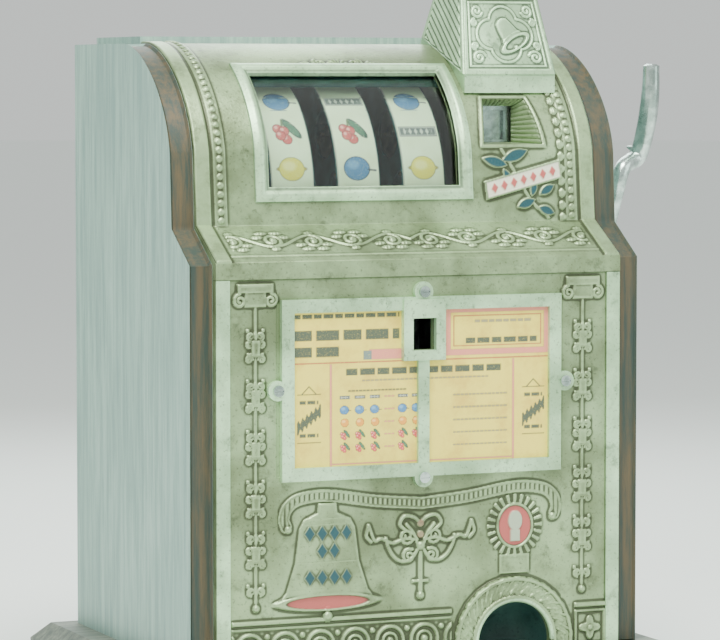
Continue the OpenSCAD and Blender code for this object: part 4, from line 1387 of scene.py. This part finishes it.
@dataclass
class Tower:
    """The coin head's faces: a bordered front with a bell, and fluted sides.

    Places are in metres, and pairs of them are (back from the front, up from the top). Sizes of the drawn
    faces, and what is drawn on them, are in millimetres.
    """

    cabinet: Cabinet
    x: float = 0.111
    foot_half: float = 0.041
    top_half: float = 0.033
    foot: tuple[float, float] = (0.0662, -0.0255)
    brow: tuple[float, float] = (0.0882, 0.0415)
    rear: tuple[float, float] = (0.158, 0.006)
    rear_top: float = 0.141
    front_size: tuple[float, float] = (74, 70)
    side_size: tuple[float, float] = (86, 62)
    proud: float = 2.4
    pitch: float = 0.5

    def panel(
        self, name: str, corners: Sequence[Sequence[float]], size: tuple[float, float],
        draw: Callable[[Array, Array], Relief], palette: Palette,
    ) -> None:
        """Lays a relief on a flat four-sided face.

        Args:
            name: The piece's name.
            corners: Lower left, lower right, upper right and upper left, in metres.
            size: The face's mean width and height in millimetres.
            draw: Gives the relief over a width and height centred on the face.
            palette: The finishes.
        """
        a, b, c, d = np.array(corners)
        normal = np.cross(b - a, d - a)
        normal = normal / np.linalg.norm(normal)

        def place(u: Array, v: Array, height: Array) -> Array:
            """Mixes the four corners by u and v, then steps out along the normal."""
            p, q = (u / size[0] + 0.5)[..., None], (v / size[1] + 0.5)[..., None]
            flat = (a * (1 - p) + b * p) * (1 - q) + (d * (1 - p) + c * p) * q
            return flat + normal * (np.minimum(height, self.proud) * MM)[..., None]

        us, vs = (spaced([-length / 2, length / 2], self.pitch) for length in size)
        relief_sheet(name, us, vs, draw, place, palette.bright)

    @staticmethod
    def front(u: Array, v: Array) -> Relief:
        """Draws the border, a four-lobed line, corner scrolls and a tilted bell."""
        out = Relief.flat(u)
        box = to_box(u, v, -37, 37, -33, 33)
        out.raise_to(1.3 * inside(-box - 3.2))
        out.raise_to(0.9 * cord_height(np.abs(box + 5.5), 0.9))
        lobes = np.minimum.reduce([np.hypot(np.abs(u) - 12, v) - 13, np.hypot(u, np.abs(v) - 11) - 13])
        out.raise_to(1.1 * cord_height(np.abs(lobes), 1.0))
        cu, cv = np.abs(u), np.abs(v)
        out.raise_to(0.9 * cord_height(scroll(cu, cv, 24, 20, 5.5, 1, 200), 1.3))
        out.raise_to(0.9 * cord_height(scroll(cu, cv, 27, 10, 3.2, -1, 90), 1.1))
        tilt = math.radians(-31)
        p = u * math.cos(tilt) - v * math.sin(tilt) - 3.5
        q = u * math.sin(tilt) + v * math.cos(tilt) + 1.5
        half = np.interp(q, [-11, -7, -1, 7, 12, 14], [13.5, 11.5, 8.5, 7.2, 5.8, 2.5])
        body = inside(np.maximum(np.abs(p) - half, np.maximum(-9 - q, q - 14)), 0.5)
        out.raise_to(body * (0.8 + 1.5 * np.sqrt(np.clip(1 - (p / np.maximum(half, 1)) ** 2, 0, 1))))
        out.raise_to(2.6 * body * inside(np.abs(q + 1.5 + 0.02 * p**2) - 0.6, 0.4))
        mouth = to_oval(p, q, 0, -9.5, 13.0, 4.8)
        out.height = np.where(mouth < 0, 0.5, out.height)
        out.raise_to(2.3 * inside(np.abs(mouth) - 0.8, 0.4))
        out.raise_to(cord_height(np.hypot(p + 2, q + 13.0), 2.2))
        return out

    @staticmethod
    def side(u: Array, v: Array) -> Relief:
        """Draws diagonal flutes inside a plain border."""
        out = Relief.flat(u)
        box = to_box(u, v, -42, 42, -33, 33)
        flutes = np.abs(np.sin((u * 0.55 + v) * 0.36))
        out.raise_to(1.7 * inside(box + 5) * flutes)
        out.raise_to(1.1 * inside(-box - 4))
        return out

    def build(self, palette: Palette) -> None:
        """Builds the front and both sides, from the same sizes as the coin head."""
        top, front = self.cabinet.top, self.cabinet.front
        low, high, x = self.foot_half, self.top_half, self.x
        (y0, z0), (y1, z1), (back0, zb) = (
            (front + back, top + up) for back, up in (self.foot, self.brow, self.rear)
        )
        back1 = front + self.rear_top
        share = (zb - z0) / (z1 - z0)
        wide = low * (1 - share) + high * share
        for name, corners, size, draw in (
            (
                "front",
                [[x - low, y0, z0], [x + low, y0, z0], [x + high, y1, z1], [x - high, y1, z1]],
                self.front_size, self.front,
            ),
            (
                "left",
                [[x - wide, back0, zb], [x - low, y0, z0], [x - high, y1, z1], [x - high, back1, z1]],
                self.side_size, self.side,
            ),
            (
                "right",
                [[x + low, y0, z0], [x + wide, back0, zb], [x + high, back1, z1], [x + high, y1, z1]],
                self.side_size, self.side,
            ),
        ):
            self.panel(f"coin_head_{name}", corners, size, draw, palette)


# ---- The boards and the lever ----


@dataclass
class SideBoard:
    """A side board whose edge is sunk a little between two slanting lips, in place of the plain one."""

    cabinet: Cabinet
    sunk: float = 0.0022
    points_round: int = 520
    rim_depth: float = 0.004
    rim_foot: float = 0.176
    rim_rear: float = 0.152

    def build(self, palette: Palette, side: str) -> None:
        """Builds the board: its outline in ten rings, drawn in the further they lie from its two faces.

        Args:
            palette: The finishes.
            side: "left" or "right".
        """
        lo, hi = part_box(f"side_board_{side}")
        line = self.cabinet.board_line()
        line = np.vstack([line, line[:1]])
        step = np.hypot(*np.diff(line, axis=0).T)
        along = np.concatenate([[0], step.cumsum()])
        even = np.linspace(0, along[-1], self.points_round, endpoint=False)
        marks = np.unique(np.concatenate([even, along[:-1]]))
        y, z = np.interp(marks, along, line[:, 0]), np.interp(marks, along, line[:, 1])
        ty, tz = np.roll(y, -1) - np.roll(y, 1), np.roll(z, -1) - np.roll(z, 1)
        length = np.hypot(ty, tz)
        area = np.sum(y * np.roll(z, -1) - z * np.roll(y, -1))
        inward = 1.0 if area < 0 else -1.0
        depth = self.sunk * (1 - np.sin(np.linspace(math.pi / 2, 0, 5)))
        xs = np.concatenate([lo[0] + depth, hi[0] - depth[::-1]])[:, None]
        pull = inward * np.concatenate([depth, depth[::-1]])[:, None]
        rings = stacked(xs, y + pull * tz / length, z - pull * ty / length)
        middle = ((lo[1] + hi[1]) / 2, (lo[2] + hi[2]) / 2 - 0.05)
        ends = np.array([[rings[0, 0, 0], *middle], [rings[-1, 0, 0], *middle]])
        points, faces = closed_sweep(rings, ends, area < 0)
        front = points[:, 1] < self.cabinet.front + self.rim_depth
        above = points[:, 2] > self.cabinet.top - self.rim_foot
        curved = above & (points[:, 1] < self.cabinet.front + self.rim_rear)
        across = (points[:, 0] > lo[0] + 1e-5) & (points[:, 0] < hi[0] - 1e-5)
        edge = np.where((front | curved) & across, 1.0, 0.0)
        piece = build(
            f"smooth_board_{side}", points, faces, palette.board, sharp=30.0, attributes={"edge": edge}
        )
        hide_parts(f"side_board_{side}")


@dataclass
class Lever:
    """The pull handle: a smooth bar that swells to a ridged grip with a small horn, in millimetres."""

    axis_y: float = 17.0
    axis_z: float = 290.0

    def build(self, palette: Palette) -> None:
        """Builds the bar: lozenge rings along a rounded route, square to it."""
        route = np.array(
            [
                [220.5, 17, 290], [220.5, -12, 347], [220.5, -35, 396], [221.5, -45, 419], [226, -46.5, 436],
                [238, -39, 442], [244.5, -36.5, 445], [247.7, -38, 453], [248, -46, 470], [248, -51.5, 486],
                [248, -54.5, 503], [248, -55.5, 520],
            ]
        )
        radii = np.array([5.6, 6.2, 6.6, 6.7, 6.8, 7.2, 7.5, 7.6, 7.7, 7.7, 7.3, 6.7])
        line = smooth_path(np.column_stack([route, radii]), 12)
        path, radius = line[:, :3], line[:, 3]
        tangent = np.gradient(path, axis=0)
        tangent /= np.linalg.norm(tangent, axis=1, keepdims=True)
        start = np.cross(tangent, [1.0, 0.0, 0.0])
        upright = np.linalg.norm(start, axis=1, keepdims=True) > 0.3
        start = np.where(upright, start, np.cross(tangent, [0.0, 1.0, 0.0]))
        start /= np.linalg.norm(start, axis=1, keepdims=True)
        other = np.cross(tangent, start)
        turn = np.linspace(0, 2 * math.pi, 32, endpoint=False)
        along = np.arange(len(path)) / len(path)
        ridge = smooth_step(0.5, 0.62, along)[:, None]
        shape = 1 + ridge * 0.10 * (np.abs(np.cos(2 * turn)) - 0.4)
        swell = radius[:, None] * shape
        ring = path[:, None] + swell[..., None] * (
            start[:, None] * np.cos(turn)[:, None] + other[:, None] * np.sin(turn)[:, None]
        )
        tip = ring[-1] + tangent[-1] * 4.0
        tip = tip.mean(0) + (tip - tip.mean(0)) * 0.6
        ring = np.concatenate([ring, (ring[-1] + tangent[-1] * 2.4)[None], tip[None]])
        points, faces = closed_sweep(ring)
        piece = build("smooth_handle", points * MM, faces, palette.nickel, body="lever", sharp=38.0)
        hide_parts("handle")
        self.hub(palette)
        self.spur(palette)

    def hub(self, palette: Palette) -> None:
        """Builds the hub: a disc of 36 mm with round edges and a shallow dish, turned about the axis."""
        turn = np.linspace(0, 2 * math.pi, 48, endpoint=False)
        xs = np.array([214.0, 214.0, 214.6, 216.0, 224.0, 225.4, 226.0, 226.0, 225.0, 225.0])
        rs = np.array([15.0, 16.8, 17.6, 18.0, 18.0, 17.6, 16.8, 14.5, 13.0, 10.0])
        y = self.axis_y + rs[:, None] * np.cos(turn)
        z = self.axis_z + rs[:, None] * np.sin(turn)
        points, faces = closed_sweep(stacked(xs[:, None], y, z))
        build("lever_hub", points * MM, faces, palette.nickel, body="lever", sharp=30.0)

    @staticmethod
    def spur(palette: Palette) -> None:
        """Builds the small horn behind the grip's foot: rings that shrink along a short straight line."""
        root, way = np.array([247.0, -36.5, 450.5]), np.array([-0.55, 0.75, 0.30])
        across, up = np.array([0.0, -0.37, 0.93]), np.array([0.83, 0.5, 0.2])
        turn = np.linspace(0, 2 * math.pi, 16, endpoint=False)
        far = np.array([0.0, 4.0, 8.0, 11.0, 12.5])
        wide = np.array([5.0, 4.6, 3.4, 2.0, 0.9])
        ring = root + way * far[:, None, None] + wide[:, None, None] * (
            across * np.cos(turn)[:, None] * 0.7 + up * np.sin(turn)[:, None]
        )
        points, faces = closed_sweep(ring)
        build("lever_spur", points * MM, faces, palette.nickel, body="lever", sharp=40.0)


# ---- The reels ----


class Symbol(Enum):
    """The pictures on a reel."""

    LEMON = "lemon"
    CHERRIES = "cherries"
    PLUM = "plum"
    PLAQUE = "plaque"
    ORANGE = "orange"


@dataclass
class Print:
    """Ink laid on paper, as a colour and a coverage at each place."""

    ink: Array

    @staticmethod
    def blank(u: Array) -> "Print":
        """Starts with bare paper."""
        return Print(np.zeros((*u.shape, 4)))

    def lay(self, distance: Array, colour: Colour, soft: float = 0.25) -> None:
        """Prints a colour where a signed distance is below nought."""
        lay_colour(self.ink, inside(distance, soft), colour)


def draw_symbol(out: Print, u: Array, v: Array, symbol: Symbol, scale: float = 1.0) -> None:
    """Prints a fruit or a plaque, 26 mm across, with an outline and a light side.

    Args:
        out: The print.
        u: Across, in millimetres from its middle.
        v: Up, in millimetres from its middle.
        symbol: Which picture.
        scale: Its size against the reel's.
    """
    u, v = u / scale, v / scale
    dark = (0.05, 0.06, 0.09)
    if symbol is Symbol.PLUM:
        body = to_oval(u, v, -1, 0, 11.5, 10.0)
        out.lay(body, (0.02, 0.05, 0.12))
        out.lay(body + 0.8, (0.06, 0.20, 0.42))
        out.lay(to_oval(u, v, -4.0, 3.0, 5.0, 3.4), (0.16, 0.36, 0.60), 1.6)
        out.lay(to_line(u, v, np.array([[9.0, -1.0], [15.5, -1.8]])) - 0.7, dark)
    elif symbol is Symbol.LEMON:
        body = np.minimum(to_oval(u, v, 0, 0, 11.0, 9.8), to_oval(u, v, 0, 0, 13.4, 3.0))
        out.lay(body, (0.42, 0.36, 0.05))
        out.lay(body + 0.6, (0.86, 0.74, 0.08))
        out.lay(to_oval(u, v, -2.0, 2.4, 5.6, 4.0), (0.95, 0.88, 0.30), 1.6)
    elif symbol is Symbol.ORANGE:
        body = to_oval(u, v, 0, 0, 10.0, 9.6)
        out.lay(body, (0.34, 0.10, 0.01))
        out.lay(body + 0.9, (0.80, 0.32, 0.04))
        out.lay(to_oval(u, v, -2.8, 2.8, 4.4, 3.0), (0.92, 0.55, 0.20), 1.2)
    elif symbol is Symbol.CHERRIES:
        c, n = math.cos(math.radians(-52)), math.sin(math.radians(-52))
        leaf = to_oval((u - 5.0) * c + (v - 3.5) * n, (v - 3.5) * c - (u - 5.0) * n, 0, 0, 11.5, 3.8)
        out.lay(leaf, (0.02, 0.07, 0.05))
        out.lay(leaf + 1.0, (0.05, 0.17, 0.10))
        out.lay(to_line(u, v, np.array([[-3.0, 4.0], [-2.0, 11.5]])) - 0.9, (0.10, 0.16, 0.06))
        for x, y in ((-7.0, 3.0), (-2.0, 1.0), (-0.5, -6.4), (-5.4, -3.0)):
            fruit = to_disc(u, v, x, y, 4.6)
            out.lay(fruit, (0.30, 0.02, 0.03))
            out.lay(fruit + 0.8, (0.66, 0.09, 0.09))
            out.lay(to_disc(u, v, x - 1.2, y + 1.4, 1.5), (0.90, 0.45, 0.40), 0.6)
    else:
        plate = to_box(u, v, -16.6, 16.6, -4.6, 4.6)
        out.lay(plate, (0.10, 0.12, 0.12))
        out.lay(np.abs(plate + 1.0) - 0.25, (0.60, 0.64, 0.54))
        place = np.abs((u + 9.0) % 5.0 - 2.5)
        mark = np.maximum(place / 1.5 + np.abs(v) / 3.0 - 1, np.abs(u) / 12.5 - 1)
        out.lay(mark * 3, (0.62, 0.66, 0.56))


@dataclass
class Reel:
    """One reel's paper strip, with twenty stops printed on it."""

    number: int
    order: tuple[Symbol, ...]
    first_angle: float = 13.0
    stops: int = 20

    def draw(self, u: Array, turn: Array, radius: float) -> Print:
        """Prints all the stops: the angle over the pitch picks the stop, and the rest the place in it."""
        out = Print.blank(u)
        pitch = 360.0 / self.stops
        index = np.floor((turn - self.first_angle) / pitch + 0.5).astype(int)
        v = np.radians(turn - self.first_angle - index * pitch) * radius
        slot = index % self.stops
        for symbol in Symbol:
            places = [k for k in range(self.stops) if self.order[k % len(self.order)] is symbol]
            chosen = np.isin(slot, places)
            one = Print.blank(u)
            draw_symbol(one, u, v, symbol)
            out.ink = np.where(chosen[..., None], one.ink, out.ink)
        out.lay(17.6 - np.abs(u), (0.50, 0.52, 0.42))
        return out

    def build(self, palette: Palette) -> None:
        """Builds the strip as a band of the reel's own radius, turned in at its sides."""
        lo, hi = (np.asarray(v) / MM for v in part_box(f"reel_strip_{self.number}"))
        cx, cy, cz = (lo + hi) / 2
        radius, half = (hi[2] - lo[2]) / 2, (hi[0] - lo[0]) / 2
        turn = np.linspace(0, 360, 1080, endpoint=False)
        across = np.linspace(-half + 0.05, half - 0.05, 72)
        u, t = np.meshgrid(across, turn)
        sheet = self.draw(u, t, radius)
        a = np.radians(t)
        r = np.full(u.shape, radius)
        r[:, 0] -= 0.5
        r[:, -1] -= 0.5
        points = stacked(cx + u, cy - r * np.cos(a), cz + r * np.sin(a)).reshape(-1, 3) * MM
        faces = grid_faces(*u.shape, wrap_rows=True)
        piece = build(
            f"printed_strip_{self.number}", points, [faces], palette.strip,
            body=f"reel_{self.number}", sharp=None, attributes={"ink": sheet.ink.reshape(-1, 4)},
        )
        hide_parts(f"reel_strip_{self.number}")


# ---- The award card ----


@dataclass
class AwardCard:
    """The printed card: panels of plain bars and rows of fruit, with no words."""

    pitch: float = 0.55
    lift: float = 0.12

    @staticmethod
    def bars(
        out: Print, x: Array, z: Array, span: tuple[float, float], level: float, tall: float, colour: Colour
    ) -> None:
        """Prints a line of plain bars with gaps, where a card has words.

        Args:
            out: The print.
            x: Across, in millimetres.
            z: Up, in millimetres.
            span: Where the line starts and ends.
            level: Its height.
            tall: The bars' height.
            colour: The ink.
        """
        place = (x - span[0]) % (tall * 5.3)
        gap = np.minimum(np.abs(place - tall * 2.1), np.abs(place - tall * 5.0)) - tall * 0.22
        out.lay(np.maximum(to_box(x, z, *span, level - tall / 2, level + tall / 2), -gap), colour)

    def draw(self, x: Array, z: Array) -> Print:
        """Prints the card; x runs from its middle and z from its foot, in millimetres."""
        out = Print.blank(x)
        red, pink, ink, grey = (0.52, 0.08, 0.07), (0.72, 0.25, 0.19), (0.07, 0.09, 0.06), (0.30, 0.27, 0.15)
        frame_line = to_box(x, z, 20, 112, 90, 129)
        out.lay(np.abs(frame_line + 2.4) - 2.4, pink)
        out.lay(np.abs(frame_line + 7.5) - 0.4, red)
        out.lay(to_box(x, z, -46, -16, 89, 97), pink)
        out.lay(to_box(x, z, -51, -44, 89, 96), (0.16, 0.22, 0.20))
        out.lay(to_box(x, z, -115, 115, 86.6, 87.6), red)
        self.bars(out, x, z, (-111, -20), 124, 3.4, ink)
        self.bars(out, x, z, (-110, -20), 109, 8.0, ink)
        self.bars(out, x, z, (-110, -72), 96, 8.0, ink)
        self.bars(out, x, z, (46, 96), 117, 2.4, grey)
        self.bars(out, x, z, (38, 101), 101.5, 4.4, ink)
        self.bars(out, x, z, (-66, 70), 79.5, 5.2, ink)
        self.bars(out, x, z, (-52, 58), 72.5, 1.4, grey)
        for edge in (-79.0, 80.0):
            out.lay(np.maximum(np.abs(x - edge) - 0.9, z - 86), pink)
        out.lay(np.maximum(np.abs(z - 7) - 0.6, np.abs(x) - 79), pink)
        out.lay(np.maximum(np.abs(z - 3) - 0.35, np.abs(x) - 114), pink)
        kinds = (Symbol.PLAQUE, Symbol.PLUM, Symbol.ORANGE, Symbol.CHERRIES, Symbol.CHERRIES)
        for row, kind in enumerate(kinds):
            level = 59.5 - 10 * row
            for place in (-67, -54, -41, -17, -5 if row < 4 else -54):
                one = Print.blank(x)
                draw_symbol(one, x - place, z - level, kind, 0.36 if kind is not Symbol.PLAQUE else 0.27)
                out.ink = np.where(one.ink[..., 3:] > 0.5, one.ink, out.ink)
            self.bars(out, x, z, (-33, -24), level, 1.2, pink)
            self.bars(out, x, z, (27, 75), level - 1, 1.3, grey)
            self.bars(out, x, z, (-64, -14), 64.5, 1.2, ink)
        for middle in (-97.5, 98.0):
            out.lay(np.abs(np.abs(x - middle) + (z - 66) - 3) - 0.6 + 1e3 * (z < 62.5), ink)
            out.lay(to_box(x, z, middle - 10, middle + 10, 62.4, 63.2), ink)
            self.bars(out, x, z, (middle - 8, middle + 8), 56.5, 2.8, ink)
            slant = (z - 43) - (x - middle) * 0.7
            stroke = np.maximum(np.abs(slant) - 3.2, np.abs(x - middle) - 9)
            out.lay(stroke + 1.6 * np.cos((x - middle) * 1.7) - 0.9, ink)
            self.bars(out, x, z, (middle - 8, middle + 8), 30.5, 2.8, ink)
            out.lay(to_box(x, z, middle - 10, middle + 10, 24.4, 25.1), ink)
        return out

    def build(self, palette: Palette) -> None:
        """Builds the card as a sheet just in front of the plain one."""
        lo, hi = (np.asarray(v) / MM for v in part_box("award_card"))
        x, z = np.meshgrid(*(np.arange(lo[k] + 0.1, hi[k], self.pitch) for k in (0, 2)))
        sheet = self.draw(x - (lo[0] + hi[0]) / 2, z - lo[2])
        points = stacked(x, lo[1] - self.lift, z).reshape(-1, 3) * MM
        faces = grid_faces(*x.shape)
        middle = points[faces].mean(1) / MM
        behind_plate = (np.abs(middle[:, 0]) < 17.5) & (middle[:, 2] > 289.0)
        used, faces = drop_faces(faces, behind_plate)
        build(
            "card_print", points[used], [faces], palette.card,
            sharp=None, attributes={"ink": sheet.ink.reshape(-1, 4)[used]},
        )


# ---- The picture ----


def add_light(name: str, place: Colour, aim: Colour, size: float, watts: float, colour: Colour) -> None:
    """Adds a soft square lamp that faces a point.

    Args:
        name: Its name.
        place: Where it stands, in metres.
        aim: What it faces.
        size: Its side in metres.
        watts: Its power.
        colour: Its colour.
    """
    lamp = bpy.data.lights.new(name, "AREA")
    lamp.size = size
    lamp.energy = watts
    lamp.color = colour
    thing = add_object(name, lamp)
    thing.location = place
    ray = [a - b for a, b in zip(aim, place)]
    flat = math.hypot(ray[0], ray[1])
    thing.rotation_euler = (math.pi / 2 + math.atan2(ray[2], flat), 0, math.atan2(-ray[0], ray[1]))


def add_floor() -> Piece:
    """Adds the floor: one wide flat sheet at the machine's foot."""
    half = 40.0
    corners = [(-half, -half, 0.0), (half, -half, 0.0), (half, half, 0.0), (-half, half, 0.0)]
    mesh = bpy.data.meshes.new("floor")
    mesh.from_pydata(corners, [], [(0, 1, 2, 3)])
    material, _, shader = new_material("floor_pale")
    shader.inputs["Base Color"].default_value = (0.93, 0.96, 0.94, 1.0)
    shader.inputs["Roughness"].default_value = 0.8
    mesh.materials.append(material)
    return add_object("floor", mesh)


def set_scene() -> None:
    """Sets the floor, the lamps and the camera."""
    add_floor()
    world = bpy.data.worlds.new("studio")
    world.use_nodes = True
    sky = world.node_tree.nodes["Background"].inputs
    sky["Color"].default_value = (0.95, 1.0, 0.97, 1.0)
    sky["Strength"].default_value = 0.8
    bpy.context.scene.world = world
    add_light("key", (-1.3, -1.5, 1.7), (0.0, 0.0, 0.3), 1.0, 40, (0.93, 1.0, 0.88))
    add_light("fill", (1.6, -1.3, 0.9), (0.0, 0.0, 0.3), 1.4, 14, (0.85, 1.0, 0.93))
    add_light("above", (-0.2, -0.9, 2.1), (0.0, -0.05, 0.45), 0.9, 66, (0.96, 1.0, 0.90))
    add_light("back", (0.4, 1.6, 1.5), (0.0, 0.0, 0.35), 1.2, 26, (0.9, 1.0, 0.97))
    lens = bpy.data.cameras.new("camera")
    lens.lens = 177.9
    lens.sensor_width = 36.0
    lens.clip_start = 0.05
    lens.clip_end = 30.0
    camera = add_object("camera", lens)
    camera.location = (-1.1567, -2.7128, 0.5106)
    camera.rotation_euler = (math.radians(90 - 3.8606), 0, math.radians(-23.1935))
    bpy.context.scene.camera = camera


REEL_ORDER = {
    1: (Symbol.LEMON, Symbol.CHERRIES, Symbol.PLUM, Symbol.ORANGE, Symbol.PLUM),
    2: (Symbol.PLUM, Symbol.CHERRIES, Symbol.PLAQUE, Symbol.ORANGE, Symbol.LEMON),
    3: (Symbol.LEMON, Symbol.PLAQUE, Symbol.PLUM, Symbol.ORANGE, Symbol.CHERRIES),
}


def main() -> None:
    """Builds the looks piece by piece."""
    logging.basicConfig(level=logging.INFO, format="%(name)s %(message)s")
    palette = Palette()
    dress_frame(palette)
    cabinet = Cabinet()
    surface = HeadSurface(cabinet)
    head = HeadRelief(cabinet, surface)
    for label, part in (
        ("front", FrontRelief(cabinet)),
        ("head", head),
        ("coin funnel", Funnel(cabinet)),
        ("window frame", WindowFrame(surface, head)),
        ("coin head", Tower(cabinet)),
        ("lever", Lever()),
        ("award card", AwardCard()),
    ):
        part.build(palette)
        LOG.info("built the %s", label)
    for side in ("left", "right"):
        SideBoard(cabinet).build(palette, side)
    for number, order in REEL_ORDER.items():
        Reel(number, order).build(palette)
    LOG.info("built the boards and reels")
    set_scene()


if __name__ == "__main__":
    main()
